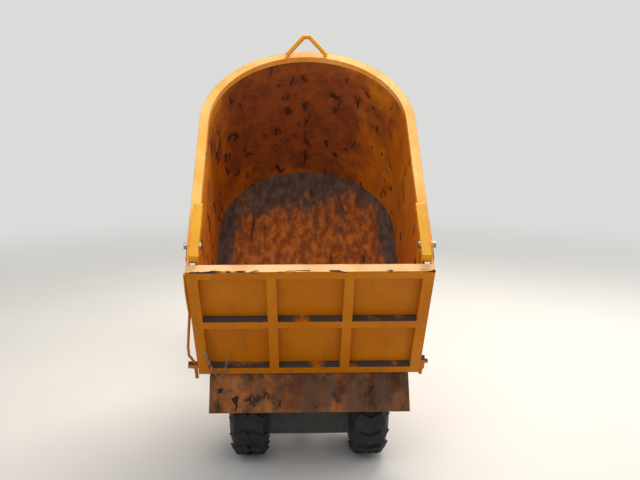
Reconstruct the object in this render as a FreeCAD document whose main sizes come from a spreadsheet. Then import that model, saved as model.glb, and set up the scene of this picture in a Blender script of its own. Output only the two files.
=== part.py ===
import FreeCAD, Part
import math
import os
import Sketcher

# Articulated site dumper, 1 tonne class, standing on its wheels with the skip tipped forward.
# The origin lies on the ground under the steering pin. +X is to the right of a person who
# stands in front of the machine and looks at the skip, the front is -Y and +Z is up.
# Lengths are millimetres and angles are degrees.

SIZES = (
    # name, value, what it measures
    ("tyre_radius", 268, "hub centre to the lug tips"),
    ("tyre_width", 180, "over the sidewalls"),
    ("tread_depth", 15, "height of a lug"),
    ("lug_width", 34, "along the tread, across a lug"),
    ("lug_count", 16, "lugs in each half of the tread"),
    ("crown_gap", 12, "groove between the halves of the tread"),
    ("bead_radius", 118, "bore of the tyre"),
    ("bead_half", 50, "half the width between the rim flanges"),
    ("flange_radius", 131, "rim flange"),
    ("rim_plate", 4, "thickness of the rim and its disc"),
    ("disc_out", 24, "disc ahead of the wheel's middle"),
    ("track", 560, "between the tyres' middles"),
    ("front_reach", 700, "steering pin to the front axle"),
    ("rear_reach", 700, "steering pin to the rear axle"),
    ("stub_radius", 30, "wheel stub"),
    ("axle_radius", 45, "axle tube"),
    ("diff_radius", 84, "middle of the axle"),
    ("diff_half", 70, "half the length of the axle's middle"),
    ("running_fit", 0.05, "radial play of a pin or shaft in its bore"),
    ("seat_gap", 0.3, "play between a rolled piece and its seat"),
    ("moving_gap", 6, "room between pieces that move"),
    ("tip_angle", 36, "skip floor above level as it stands"),
    ("pivot_ahead", 80, "tip pivot ahead of the front axle"),
    ("pivot_height", 444, "tip pivot above ground"),
    ("pivot_back", 120, "tip pivot behind the gate's foot, along the floor"),
    ("pivot_drop", 130, "tip pivot below the gate's foot"),
    ("pivot_radius", 18, "tip pivot shaft"),
    ("skip_half", 458, "half the inside width of the skip"),
    ("skip_wall", 5, "skip sheet"),
    ("skip_length", 900, "gate to the middle of the round back"),
    ("floor_drop", 6, "skip floor below the gate's foot"),
    ("rim_width", 42, "top edge of the skip, seen from above"),
    ("rim_depth", 28, "height of the edge bar"),
    ("rim_rise", 4, "slope of the top edge up to the back"),
    ("rim_start", 30, "gate's back to the end of the edge bar"),
    ("lip_fold", 10, "gate's front to the fold of the lip"),
    ("lip_length", 180, "lip"),
    ("lip_half", 449, "half the width of the lip"),
    ("lip_bend", 25, "lip below the line of the floor"),
    ("lip_plate", 8, "thickness of the lip"),
    ("gate_half", 497, "half the width of the gate"),
    ("gate_height", 668, "gate"),
    ("gate_lean", 2, "gate's top behind its foot"),
    ("gate_frame", 36, "depth of the gate's bars"),
    ("gate_sheet", 4, "thickness of the gate's sheet"),
    ("stile_width", 46, "gate's upright edges"),
    ("gate_rib", 42, "gate's two middle uprights"),
    ("gate_panel", 272, "width of a panel between uprights"),
    ("top_rail", 44, "gate's top bar"),
    ("mid_rail", 44, "gate's middle bar"),
    ("mid_rail_foot", 316, "middle bar above the gate's foot"),
    ("foot_rail", 42, "gate's bottom bar"),
    ("hinge_back", 118, "gate hinge behind the gate's front"),
    ("hinge_rise", 31, "gate hinge above the gate's top"),
    ("hinge_pin", 9, "radius of the gate's hinge bolts"),
    ("ear_plate", 10, "thickness of the gate's ears"),
    ("ear_reach", 494, "outside of the gate's ears"),
    ("ear_root", 62, "height of an ear's foot on the gate"),
    ("hinge_play", 0.2, "radial play of the gate's bolts in its ears"),
    ("hinge_bar", 38, "width of the bars that carry the hinge"),
    ("hinge_bar_tall", 36, "height of those bars"),
    ("hinge_bar_start", 52, "gate's front to those bars, along the edge"),
    ("hinge_bar_long", 290, "length of those bars"),
    ("handle_half", 98, "half the spread of the handle's feet"),
    ("handle_tall", 88, "handle"),
    ("handle_lean", 45, "handle leans back from square to the floor"),
    ("handle_radius", 11, "handle bar"),
    ("handle_top", 14, "half the width of the handle's bend"),
    ("lock_rod", 6, "radius of the lock's rod"),
    ("lock_boss", 16, "radius of the lock's boss"),
    ("lock_pin", 8, "radius of the lock pins"),
    ("under_rail", 30, "width of the skip's bearers"),
    ("under_deep", 60, "depth of the skip's bearers"),
    ("under_out", 170, "outside of the skip's bearers"),
    ("under_start", 24, "gate's front to the bearers"),
    ("under_end", 1150, "gate's front to the bearers' ends"),
    ("tip_eye_back", 230, "cylinder's upper eye behind the tip pivot"),
    ("tip_eye_up", 60, "cylinder's upper eye above the tip pivot"),
    ("ram_foot_back", 415, "cylinder's foot behind the front axle"),
    ("ram_foot_height", 248, "cylinder's foot above ground"),
    ("ram_pin", 12, "radius of the cylinder's pins"),
    ("ram_barrel", 34, "radius of the cylinder's barrel"),
    ("ram_barrel_long", 318, "foot pin to the barrel's gland"),
    ("ram_rod", 17, "radius of the cylinder's rod"),
    ("ram_rod_in", 120, "length of rod left in the barrel as it stands"),
    ("rail_width", 50, "chassis rails"),
    ("rail_deep", 80, "chassis rails"),
    ("rail_foot", 318, "chassis rails above ground"),
    ("front_rail_in", 115, "inside of the front rails"),
    ("rear_rail_in", 100, "inside of the rear rails"),
    ("front_nose", 150, "front plate ahead of the front axle"),
    ("front_plate", 12, "front plate"),
    ("front_plate_foot", 150, "front plate above ground"),
    ("front_plate_half", 184, "half the width of the front plate"),
    ("upright", 15, "plates that carry the tip pivot"),
    ("upright_out", 134, "outside of those plates"),
    ("yoke_plate", 16, "steering yoke"),
    ("yoke_start", 190, "steering yoke's root ahead of its pin"),
    ("yoke_radius", 48, "steering yoke's rounded end"),
    ("yoke_lower", 236, "lower yoke plate above ground"),
    ("steer_pin", 20, "radius of the steering pin"),
    ("swing_height", 325, "axis of the rear frame's swing above ground"),
    ("swing_shaft", 30, "radius of the swing shaft"),
    ("swing_tube", 52, "radius of the swing housing"),
    ("swing_start", 64, "steering pin to the swing housing"),
    ("swing_end", 165, "steering pin to the housing's end"),
    ("arm_reach", 150, "steering pin to the steering cylinder's eye"),
    ("steer_foot", 350, "steering cylinder's foot ahead of the pin"),
    ("steer_height", 284, "steering cylinder above ground"),
    ("steer_barrel", 25, "radius of the steering cylinder"),
    ("steer_rod", 12, "radius of its rod"),
    ("steer_pin_small", 10, "radius of its pins"),
    ("deck_height", 578, "top of the deck"),
    ("deck_plate", 5, "thickness of the deck"),
    ("deck_half", 375, "half the width of the deck"),
    ("deck_front", 480, "steering pin to the deck"),
    ("deck_rear", 985, "steering pin to the mudguards' ends"),
    ("skirt", 60, "deck's turned edge"),
    ("deck_ledge", 12, "deck under the engine cover's edge"),
    ("housing_half", 250, "half the width of the engine cover"),
    ("housing_front", 785, "steering pin to the engine cover"),
    ("housing_rear", 1280, "steering pin to the engine cover's back"),
    ("housing_top", 700, "top of the fixed cover"),
    ("cover_plate", 4, "cover sheet"),
    ("bonnet_top", 880, "top of the bonnet"),
    ("bonnet_round", 60, "rounding of the bonnet's back"),
    ("tail_end", 1290, "steering pin to the back of the tail weight"),
    ("tail_thick", 75, "tail weight"),
    ("tail_half", 330, "half the width of the tail weight"),
    ("tail_foot", 260, "tail weight above ground"),
    ("tail_top", 560, "top of the tail weight"),
    ("hitch_long", 42, "tow jaw behind the tail weight"),
    ("hitch_bore", 10, "radius of the tow pin's bore"),
    ("seat_half", 220, "half the width of the seat"),
    ("seat_front", 850, "steering pin to the seat"),
    ("seat_long", 400, "seat, front to back"),
    ("seat_thick", 65, "seat cushion"),
    ("back_tall", 390, "seat back"),
    ("back_thick", 60, "seat back"),
    ("wheel_radius", 175, "steering wheel"),
    ("wheel_tube", 13, "steering wheel's rim"),
    ("wheel_back", 665, "steering pin to the steering wheel's middle"),
    ("wheel_height", 1130, "steering wheel's middle above ground"),
    ("wheel_tilt", 35, "steering column from upright"),
    ("column_shaft", 9, "radius of the steering wheel's shaft"),
    ("knuckle", 8, "radius of the bonnet's hinge knuckles"),
    ("knuckle_pin", 4, "radius of the bonnet's hinge pins"),
    ("overrun", 1, "cutting tools run past a face"),
    ("handle_foot", 2, "handle's ends below the bar's middle line"),
    ("handle_inset", 6, "handle's feet inside the middle of the edge bar"),
    ("ear_gap", 1, "play between a gate ear and its hinge bar"),
    ("ear_eye", 15, "radius of a gate ear round its bolt"),
    ("ear_clear", 8, "gate ears ahead of the edge bar"),
    ("ear_lift", 11, "gate ears over the gate's top"),
    ("lashing_eye", 8, "radius of the hole in a hinge bar's end"),
    ("bolt_head", 14, "radius of a hinge bolt's head and nut"),
    ("bolt_head_thick", 8, "hinge bolt's head"),
    ("bolt_end", 4, "hinge bolt past the head and the ear"),
    ("nut_play", 0.5, "play under a hinge bolt's nut"),
    ("nut_thick", 13.5, "hinge bolt's nut"),
    ("cross_bar", 40, "width of the bars under the skip"),
    ("pivot_ear", 36, "radius of the ears round the tip pivot"),
    ("pivot_ear_plate", 18, "thickness of the skip's ears"),
    ("pivot_ear_top", 52, "half the width of an ear at its root"),
    ("eye_lug_in", 24, "inside of the lugs for the cylinder's eye"),
    ("eye_lug_plate", 10, "thickness of those lugs"),
    ("eye_lug_radius", 22, "radius of those lugs and of the eye"),
    ("eye_lug_root", 30, "half the width of a lug at its root"),
    ("eye_pin_half", 40, "half the length of the cylinder's upper pin"),
    ("lock_boss_long", 44, "lock's boss"),
    ("lock_boss_height", 45, "lock's boss above the gate's foot"),
    ("lock_pin_out", 14, "lock pin beside the gate"),
    ("lock_pin_drop", 48, "lock pin below the gate's foot"),
    ("lock_lug", 20, "lug for the right lock pin"),
    ("lock_lug_half", 14, "half the depth of that lug"),
    ("lock_lug_foot", 20, "that lug above the gate's foot"),
    ("lock_lug_top", 84, "top of that lug"),
    ("lock_stub_drop", 30, "right lock pin below the gate's foot"),
    ("lock_stub_top", 40, "right lock pin's top"),
    ("lock_knob", 10, "radius of the right lock's knob"),
    ("lock_knob_long", 34, "right lock's knob"),
    ("lock_knob_height", 60, "right lock's knob above the gate's foot"),
    ("rail_end", 90, "front rails end ahead of the steering pin"),
    ("pivot_plate_foot", 62, "half the width of a pivot plate at its foot"),
    ("ram_lug_in", 38, "inside of the cylinder's bracket"),
    ("ram_lug_plate", 12, "thickness of its plates"),
    ("ram_lug_radius", 24, "radius of its plates and of the cylinder's foot eye"),
    ("ram_eye_half", 37, "half the length of the cylinder's foot eye"),
    ("ram_foot_pin_half", 55, "half the length of the foot pin"),
    ("ram_gland", 4, "gland stands out from the barrel"),
    ("ram_gland_long", 22, "gland"),
    ("ram_bore_foot", 50, "closed foot of the cylinder's bore above the pin"),
    ("ram_neck", 20, "foot pin to the barrel's closed end"),
    ("yoke_overlap", 20, "yoke plates run over the cross bar"),
    ("yoke_waist", 110, "where the yoke plates begin to narrow"),
    ("yoke_web_in", 60, "inside of the yoke's side plates"),
    ("yoke_web_end", 88, "end of the side plates ahead of the steering pin"),
    ("steer_lug_half", 22, "half the width of those lugs"),
    ("steer_lug_gap", 18, "lugs above and below the cylinder's axis"),
    ("steer_lug_plate", 12, "thickness of the lower lug"),
    ("steer_lug_web", 15, "plate that carries the lower lug, inside the rail"),
    ("steer_lug_lap", 3, "that plate under the rail"),
    ("steer_eye", 19, "radius of the steering cylinder's foot eye"),
    ("steer_eye_half", 17, "half the height of that eye"),
    ("steer_barrel_long", 222, "foot pin to the end of the steering cylinder"),
    ("steer_bore_foot", 50, "closed foot of its bore from the pin"),
    ("steer_rod_start", 135, "piston from the foot pin"),
    ("fork_half", 17, "half the width of the rod's fork"),
    ("fork_tall", 22, "half the height of the fork"),
    ("fork_slot", 12, "half the slot of the fork"),
    ("fork_root", 34, "fork's slot ahead of its pin"),
    ("arm_half", 9, "half the thickness of the steering arm"),
    ("arm_root", 34, "half the width of the arm at the block"),
    ("arm_eye", 20, "radius of the arm's eye"),
    ("block_play", 2, "steering block inside the yoke plates"),
    ("collar", 14, "collar of the swing shaft stands out"),
    ("swing_nut", 12, "nut of the swing shaft stands out"),
    ("swing_nut_long", 19, "nut of the swing shaft"),
    ("swing_stub", 26, "swing shaft past its housing"),
    ("pin_head", 14, "head of the steering pin stands out"),
    ("pin_head_thick", 10, "head of the steering pin"),
    ("shaft_collar", 10, "collars on the ends of the tip shaft"),
    ("axle_shoulder", 6, "axle tube ends inside the tyre's side"),
    ("diff_cone", 30, "cone from the axle tube to its middle"),
    ("saddle_half", 42, "half the width of the axle's saddles"),
    ("stop_start", 290, "stops ahead of the steering pin"),
    ("stop_long", 50, "stops"),
    ("stop_in", 8, "stops inside the rails' edges"),
    ("wall_thin", 10, "thickness of small brackets and webs"),
    ("bracket", 36, "square brackets out to the steps and tanks"),
    ("bracket_out", 340, "outside of those brackets"),
    ("step_in", 200, "inside of the steps"),
    ("step_out", 345, "outside of the steps"),
    ("step_front", 300, "steering pin to the steps"),
    ("step_long", 115, "steps"),
    ("step_plate", 6, "thickness of the steps"),
    ("deck_lip", 70, "height of the deck's front edge"),
    ("deck_corner", 45, "rounding of the deck's front corners"),
    ("console_half", 80, "half the width of the console"),
    ("column_tube", 22, "radius of the steering column"),
    ("column_foot", 130, "steering column below the wheel"),
    ("column_top", 30, "column's tube ends below the wheel"),
    ("hub_radius", 34, "hub of the steering wheel"),
    ("hub_down", 20, "hub below the wheel's middle"),
    ("hub_up", 14, "hub above the wheel's middle"),
    ("spoke_width", 22, "spokes of the steering wheel"),
    ("spoke_thick", 8, "spokes of the steering wheel"),
    ("lever_radius", 6, "levers"),
    ("knob_radius", 18, "lever knobs"),
    ("pedal_half", 35, "half the width of a pedal"),
    ("engine_half", 150, "half the width of the engine"),
    ("engine_front", 825, "steering pin to the engine"),
    ("engine_rear", 1185, "steering pin to the engine's back"),
    ("engine_top", 850, "top of the engine"),
    ("slot_tall", 12, "cooling slots"),
    ("slot_pitch", 28, "one row of slots to the next"),
    ("slot_low", 610, "lowest row of slots above ground"),
    ("slot_bonnet", 738, "lowest row of slots in the bonnet"),
    ("bonnet_edge", 18, "rounding of the bonnet's top edges"),
    ("hinge_in", 150, "inside of the bonnet's hinges"),
    ("hinge_mid", 201, "where the fixed and moving knuckles meet"),
    ("hinge_out", 240, "outside of the bonnet's hinges"),
    ("pan_thick", 14, "seat pan"),
    ("stay_thick", 8, "plate behind the seat"),
    ("tail_corner", 60, "slanted corners of the tail weight"),
    ("jaw_low", 370, "lower tow plate above ground"),
    ("jaw_pitch", 64, "lower tow plate to the upper one"),
    ("jaw_plate", 14, "thickness of the tow plates"),
    ("jaw_half", 35, "half the width of the tow plates"),
    ("tank_in", 255, "inside of the tanks"),
    ("tank_front", 1005, "steering pin to the tanks"),
    ("tank_rear", 1205, "steering pin to the tanks' backs"),
    ("tank_cap", 22, "radius of a tank's filler cap"),
    ("silencer", 40, "radius of the silencer"),
    ("exhaust_pipe", 16, "radius of the tail pipe"),
    ("exhaust_height", 640, "silencer above ground"),
    ("exhaust_out", 300, "silencer from the middle"),
    ("exhaust_front", 1010, "steering pin to the silencer"),
    ("exhaust_rear", 1190, "steering pin to the silencer's back"),
    ("exhaust_end", 28, "pipes inside the silencer's ends"),
    ("exhaust_feed", 14, "radius of the pipe from the engine"),
    ("exhaust_top", 800, "top of the tail pipe"),
    ("stub_past", 10, "wheel stub past the rim's disc"),
    ("steer_neck", 30, "foot pin to the steering cylinder's tube"),
    ("fork_pin", 28, "half the length of the fork's pin"),
    ("shaft_past", 12, "steering shaft above the wheel's middle"),
    ("lever_ahead", 105, "levers ahead of the steering wheel's middle"),
    ("lever_foot", 322, "levers' foot above the deck"),
    ("lever_block", 20, "half the width of a lever's block"),
    ("pedal_back", 35, "pedals behind the deck's front"),
    ("pedal_lift", 20, "pedals above the deck"),
    ("slot_long", 120, "cooling slots at the back"),
    ("slot_side", 100, "cooling slots in the sides"),
    ("hinge_gap", 1, "half the play between two knuckles"),
    ("hinge_off", 2, "hinge knuckle off the cover"),
    ("hinge_drop", 6, "bonnet hinge below the fixed cover's top"),
    ("leaf_down", 46, "fixed leaf of the bonnet's hinge"),
    ("leaf_up", 24, "moving leaf above the bonnet's foot"),
    ("pan_inset", 20, "seat pan inside the cushion's edges"),
    ("stay_inset", 60, "plate behind the seat inside the cushion's sides"),
    ("stay_drop", 100, "that plate's top below the seat's"),
    ("pad_edge", 10, "small rounding of the seat's pads"),
    ("pad_nose", 30, "large rounding of the seat's pads"),
    ("tank_corner", 28, "slanted lower corner of the tanks"),
    ("tank_top", 560, "top of the tanks"),
    ("tank_cap_tall", 18, "filler cap above the tank"),
    ("hitch_plate_half", 45, "half the width of the hitch's back plate"),
    ("hitch_plate", 8, "thickness of the hitch's back plate"),
    ("hitch_plate_over", 20, "that plate past the jaw, up and down"),
    ("hitch_offset", 2, "tow pin's bore behind the jaw's middle"),
    ("rim_hub", 14, "hub tube round the stub"),
    ("rim_hub_deep", 60, "hub tube behind the disc"),
    ("rim_hub_past", 16, "hub tube ahead of the disc"),
    ("rim_disc", 6, "thickness of the rim's disc"),
    ("bead_edge", 6, "tyre's bead beside the flange"),
    ("sidewall_low", 40, "sidewall's lower bend above the flange"),
    ("sidewall_high", 62, "sidewall's upper bend below the crown"),
    ("shoulder_in", 22, "shoulder's edge inside the sidewall"),
    ("lug_turn", 28, "angle of a lug across the tread"),
    ("lug_root", 24, "lug's root below the crown"),
    ("lug_edge", 36, "outer end of a lug below its top"),
    ("lug_slope", 30, "sloping shoulder of a lug"),
)


def build_sheet(document):
    """Write every driving size into a spreadsheet, one named cell each."""
    sheet = document.addObject("Spreadsheet::Sheet", "dims")
    for row, (name, value, meaning) in enumerate(SIZES, 1):
        sheet.set("A%d" % row, name)
        sheet.set("B%d" % row, str(value))
        sheet.set("C%d" % row, meaning)
        sheet.setAlias("B%d" % row, name)
    document.recompute()
    return sheet


class Size:
    """A length or angle: what it is now, and the expression that ties it to the sheet."""

    def __init__(self, value, text):
        self.value = value
        self.text = text

    def __add__(self, other):
        other = as_size(other)
        return Size(self.value + other.value, "(%s + %s)" % (self.text, other.text))

    def __sub__(self, other):
        other = as_size(other)
        return Size(self.value - other.value, "(%s - %s)" % (self.text, other.text))

    def __mul__(self, other):
        other = as_size(other)
        return Size(self.value * other.value, "%s * %s" % (self.text, other.text))

    def __truediv__(self, other):
        other = as_size(other)
        return Size(self.value / other.value, "%s / %s" % (self.text, other.text))

    def __neg__(self):
        return Size(-self.value, "(-1 * %s)" % self.text)

    def __radd__(self, other):
        return as_size(other) + self

    def __rsub__(self, other):
        return as_size(other) - self

    def __rmul__(self, other):
        return as_size(other) * self


def as_size(number):
    """Take a plain number or a Size and give a Size."""
    if isinstance(number, Size):
        return number
    return Size(float(number), "(%s)" % repr(float(number)))


def cos(angle):
    """Cosine of an angle in degrees."""
    return Size(math.cos(math.radians(angle.value)), "cos(%s)" % angle.text)


def sin(angle):
    """Sine of an angle in degrees."""
    return Size(math.sin(math.radians(angle.value)), "sin(%s)" % angle.text)


def tan(angle):
    """Tangent of an angle in degrees."""
    return Size(math.tan(math.radians(angle.value)), "tan(%s)" % angle.text)


def root(square):
    """Square root."""
    return Size(math.sqrt(square.value), "sqrt(%s)" % square.text)


class Names:
    """The sheet's sizes by name, each as a Size."""

    def __init__(self):
        for name, value, _ in SIZES:
            setattr(self, name, Size(float(value), "dims.%s" % name))


doc = FreeCAD.newDocument("site_dumper")
dims = build_sheet(doc)
at = Names()
PARTS = {}
AXES = {
    "x": FreeCAD.Rotation(FreeCAD.Vector(0, 0, 1), FreeCAD.Vector(1, 0, 0)),
    "y": FreeCAD.Rotation(FreeCAD.Vector(0, 0, 1), FreeCAD.Vector(0, 1, 0)),
    "z": FreeCAD.Rotation(),
}


def tie(thing, path, size):
    """Bind one property to the expression of a size."""
    thing.setExpression(path, as_size(size).text)


def put(thing, spot, turn=None):
    """Place a thing at a spot (x, y, z), with a Rotation that stays as it is."""
    spot = [as_size(value) for value in spot]
    base = FreeCAD.Vector(*[value.value for value in spot])
    thing.Placement = FreeCAD.Placement(base, turn or FreeCAD.Rotation())
    for letter, value in zip("xyz", spot):
        tie(thing, "Placement.Base.%s" % letter, value)
    return thing


def shrink(span, by):
    """Span with both ends moved inwards."""
    return (as_size(span[0]) + by, as_size(span[1]) - by)


def carried(thing):
    """Give a primitive that is placed already a second placement of its own."""
    if not thing.isDerivedFrom("Part::Primitive"):
        return thing
    holder = doc.addObject("Part::Compound", "holder")
    holder.Links = [thing]
    return holder


def lean(thing, spot, angle):
    """Place a thing at a spot, turned about the X axis by a tied angle."""
    thing = carried(thing)
    put(thing, spot, FreeCAD.Rotation(FreeCAD.Vector(1, 0, 0), as_size(angle).value))
    tie(thing, "Placement.Rotation.Angle", angle)
    return thing


def block(x, y, z):
    """Box between the pairs of values x, y and z."""
    thing = doc.addObject("Part::Box", "block")
    for name, pair in (("Length", x), ("Width", y), ("Height", z)):
        tie(thing, name, as_size(pair[1]) - pair[0])
    return put(thing, (x[0], y[0], z[0]))


def rod(axis, radius, span, spot):
    """Cylinder along an axis from span[0] to span[1]; spot gives the other two coordinates."""
    thing = doc.addObject("Part::Cylinder", "rod")
    tie(thing, "Radius", radius)
    tie(thing, "Height", as_size(span[1]) - span[0])
    spots = {
        "x": (span[0], spot[0], spot[1]),
        "y": (spot[0], span[0], spot[1]),
        "z": (spot[0], spot[1], span[0]),
    }
    return put(thing, spots[axis], AXES[axis])


def join(things):
    """Fuse several things."""
    thing = doc.addObject("Part::MultiFuse", "join")
    thing.Shapes = things
    thing.Refine = True
    return thing


def gather(things):
    """Keep touching pieces together as one sub-part, each a solid of its own."""
    thing = doc.addObject("Part::Compound", "set")
    thing.Links = things
    return thing


def cut(base, tools):
    """Take tools away from a base."""
    thing = doc.addObject("Part::Cut", "cut")
    thing.Base = base
    thing.Tool = tools[0] if len(tools) == 1 else join(tools)
    thing.Refine = True
    return thing


def common(first, second):
    """Keep what two things share."""
    thing = doc.addObject("Part::MultiCommon", "common")
    thing.Shapes = [first, second]
    thing.Refine = True
    return thing


def rounded_block(axis, x, y, z, radius):
    """Box whose four edges along an axis are rounded."""
    spans = {"x": x, "y": y, "z": z}
    across = [letter for letter in "xyz" if letter != axis]
    things = []
    for letter in across:
        inset = dict(spans)
        inset[letter] = shrink(spans[letter], radius)
        things.append(block(inset["x"], inset["y"], inset["z"]))
    first, second = [shrink(spans[letter], radius) for letter in across]
    for u in first:
        for v in second:
            things.append(rod(axis, radius, spans[axis], (u, v)))
    return join(things)


def ring_plate(axis, span, points, eye, radius, bore):
    """Plate with one rounded end round an eye and a bore through it."""
    plate = join([slab(axis, span, points), rod(axis, radius, span, eye)])
    return cut(plate, [rod(axis, bore, span, eye)])


def origin_of(body, role):
    """Find a body's own origin plane or axis by its role."""
    return [item for item in body.Origin.OriginFeatures if item.Role == role][0]


def new_body():
    """Start an empty body."""
    return doc.addObject("PartDesign::Body", "body")


def outline(body, plane, points, closed=True):
    """Sketch of straight lines through points, every coordinate tied to the sheet."""
    sketch = body.newObject("Sketcher::SketchObject", "outline")
    sketch.AttachmentSupport = [(origin_of(body, plane), "")]
    sketch.MapMode = "FlatFace"
    points = [(as_size(u), as_size(v)) for u, v in points]
    spots = [FreeCAD.Vector(u.value, v.value, 0) for u, v in points]
    count = len(points) if closed else len(points) - 1
    for index in range(count):
        line = Part.LineSegment(spots[index], spots[(index + 1) % len(points)])
        sketch.addGeometry(line, False)
    for index in range(count if closed else count - 1):
        sketch.addConstraint(Sketcher.Constraint("Coincident", index, 2, (index + 1) % count, 1))
    for index, pair in enumerate(points):
        line, end = (index, 1) if index < count else (index - 1, 2)
        for kind, size in zip(("DistanceX", "DistanceY"), pair):
            rule = Sketcher.Constraint(kind, -1, 1, line, end, size.value)
            number = sketch.addConstraint(rule)
            name = "%s%d" % (kind[-1], index)
            sketch.renameConstraint(number, name)
            tie(sketch, "Constraints." + name, size)
    return sketch


def slab(axis, span, points):
    """Pad an outline along an axis: points are (y, z) for x, (x, z) for y and (x, y) for z."""
    body = new_body()
    plane = {"x": "YZ_Plane", "y": "XZ_Plane", "z": "XY_Plane"}[axis]
    sketch = outline(body, plane, points)
    start, end = as_size(span[0]), as_size(span[1])
    offset = -end if axis == "y" else start
    tie(sketch, "AttachmentOffset.Base.z", offset)
    pad = body.newObject("PartDesign::Pad", "pad")
    pad.Profile = sketch
    tie(pad, "Length", end - start)
    return body


def turned(points):
    """Revolve an outline of (x, radius) points about the X axis."""
    body = new_body()
    sketch = outline(body, "XY_Plane", points)
    spin = body.newObject("PartDesign::Revolution", "spin")
    spin.Profile = sketch
    spin.ReferenceAxis = (sketch, ["H_Axis"])
    spin.Angle = 360
    return body


def bent_bar(points, radius):
    """Round bar along straight runs in the XZ plane, mitred where they meet."""
    body = new_body()
    path = outline(body, "XZ_Plane", points, closed=False)
    section = body.newObject("Sketcher::SketchObject", "section")
    section.AttachmentSupport = [(path, "Edge1")]
    section.MapMode = "NormalToEdge"
    section.MapPathParameter = 0
    ring = Part.Circle(FreeCAD.Vector(0, 0, 0), FreeCAD.Vector(0, 0, 1), radius.value)
    section.addGeometry(ring, False)
    section.addConstraint(Sketcher.Constraint("Coincident", 0, 3, -1, 1))
    number = section.addConstraint(Sketcher.Constraint("Radius", 0, radius.value))
    section.renameConstraint(number, "girth")
    tie(section, "Constraints.girth", radius)
    pipe = body.newObject("PartDesign::AdditivePipe", "pipe")
    pipe.Profile = section
    pipe.Spine = (path, ["Edge%d" % (index + 1) for index in range(len(points) - 1)])
    pipe.Transition = "Right corner"
    return body


def keep(node, thing):
    """Name a finished sub-part."""
    thing.Label = node
    PARTS[node] = thing
    return thing


def pair(side, inner, outer):
    """Span in X between inner and outer on one side, low value first."""
    if side > 0:
        return (inner, outer)
    return (-as_size(outer), -as_size(inner))


# Places that several sub-parts share
front_axle_y = -at.front_reach
rear_axle_y = at.rear_reach
hub_height = at.tyre_radius
wheel_middle = at.track / 2
rail_top = at.rail_foot + at.rail_deep
pivot_y = front_axle_y - at.pivot_ahead
gate_depth = at.gate_frame + at.gate_sheet
yoke_top = rail_top
yoke_bottom = at.yoke_lower + at.yoke_plate


def along(distance):
    """Skip frame: distance behind the gate's foot, as Y from the tip pivot."""
    return as_size(distance) - at.pivot_back


def above(distance):
    """Skip frame: height over the gate's foot, as Z from the tip pivot."""
    return as_size(distance) + at.pivot_drop


def edge_height(distance):
    """Skip frame: height of the skip's top edge over the gate's foot."""
    start = at.gate_height * sin(at.gate_lean)
    return at.gate_height * cos(at.gate_lean) + (as_size(distance) - start) * tan(at.rim_rise)


def on_skip(thing, spot=(0, 0, 0), extra=0):
    """Place a thing whose own zero is a spot (x, along, above) of the tipped skip."""
    y, z = as_size(spot[1]), as_size(spot[2])
    tilt = at.tip_angle
    place = (
        spot[0],
        pivot_y + y * cos(tilt) - z * sin(tilt),
        at.pivot_height + y * sin(tilt) + z * cos(tilt),
    )
    return lean(thing, place, tilt + extra)


def on_gate(thing):
    """Place a thing whose zero is the gate's foot, Y through the gate and Z up it."""
    return on_skip(thing, (0, along(0), above(0)), -at.gate_lean)


def on_edge(thing):
    """Place a thing whose zero is the gate's top front edge and whose Y follows the skip's edge."""
    start = at.gate_height * sin(at.gate_lean)
    rise = at.gate_height * cos(at.gate_lean)
    return on_skip(thing, (0, along(start), above(rise)), at.rim_rise)


def u_shape(half, start, low, high):
    """Upright solid with straight sides and a half round back."""
    middle = along(at.skip_length)
    straight = block((-half, half), (start, middle), (low, high))
    back = rod("z", half, (low, high), (0, middle))
    return join([straight, back])


def wall_front(distance):
    """Where the wall's front edge stands at a height over the gate's foot."""
    return along(gate_depth + at.moving_gap) + as_size(distance) * tan(at.gate_lean)


def build_skip_shell():
    """Floor and U-shaped wall, cut off square to the gate and along the sloping edge."""
    floor_top = above(-at.floor_drop)
    floor_foot = floor_top - at.skip_wall
    outer = at.skip_half + at.skip_wall
    far = at.skip_length + outer + at.rim_width
    tall = above(edge_height(far))
    ahead = along(-at.lip_length)
    solid = u_shape(outer, along(at.lip_fold), floor_foot, tall)
    hollow = u_shape(at.skip_half, along(-at.lip_fold), floor_top, tall + at.rim_depth)
    over = [
        (ahead, above(edge_height(-at.lip_length)) - at.rim_depth),
        (along(far), above(edge_height(far)) - at.rim_depth),
        (along(far), tall + at.rim_depth),
        (ahead, tall + at.rim_depth),
    ]
    high = at.gate_height + at.rim_width
    front = [
        (ahead, floor_top),
        (wall_front(0), floor_top),
        (wall_front(high), above(high)),
        (ahead, above(high)),
    ]
    width = (-at.gate_half, at.gate_half)
    return on_skip(cut(solid, [hollow, slab("x", width, over), slab("x", width, front)]))


def build_skip_rim():
    """Flat bar round the top edge, its top sloping up to the back."""
    outer = at.skip_half + at.rim_width
    far = at.skip_length + outer + at.rim_width
    low, high = above(0), above(edge_height(far)) + at.rim_depth
    hole = u_shape(at.skip_half, along(-at.rim_width), low - at.overrun, high + at.overrun)
    ring = cut(u_shape(outer, along(0), low, high), [hole])
    start = gate_depth + at.rim_start + at.gate_height * sin(at.gate_lean)
    band = [
        (along(start), above(edge_height(start)) - at.rim_depth),
        (along(far), above(edge_height(far)) - at.rim_depth),
        (along(far), above(edge_height(far))),
        (along(start), above(edge_height(start))),
    ]
    reach = outer + at.rim_width
    return on_skip(common(ring, slab("x", (-reach, reach), band)))


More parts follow.
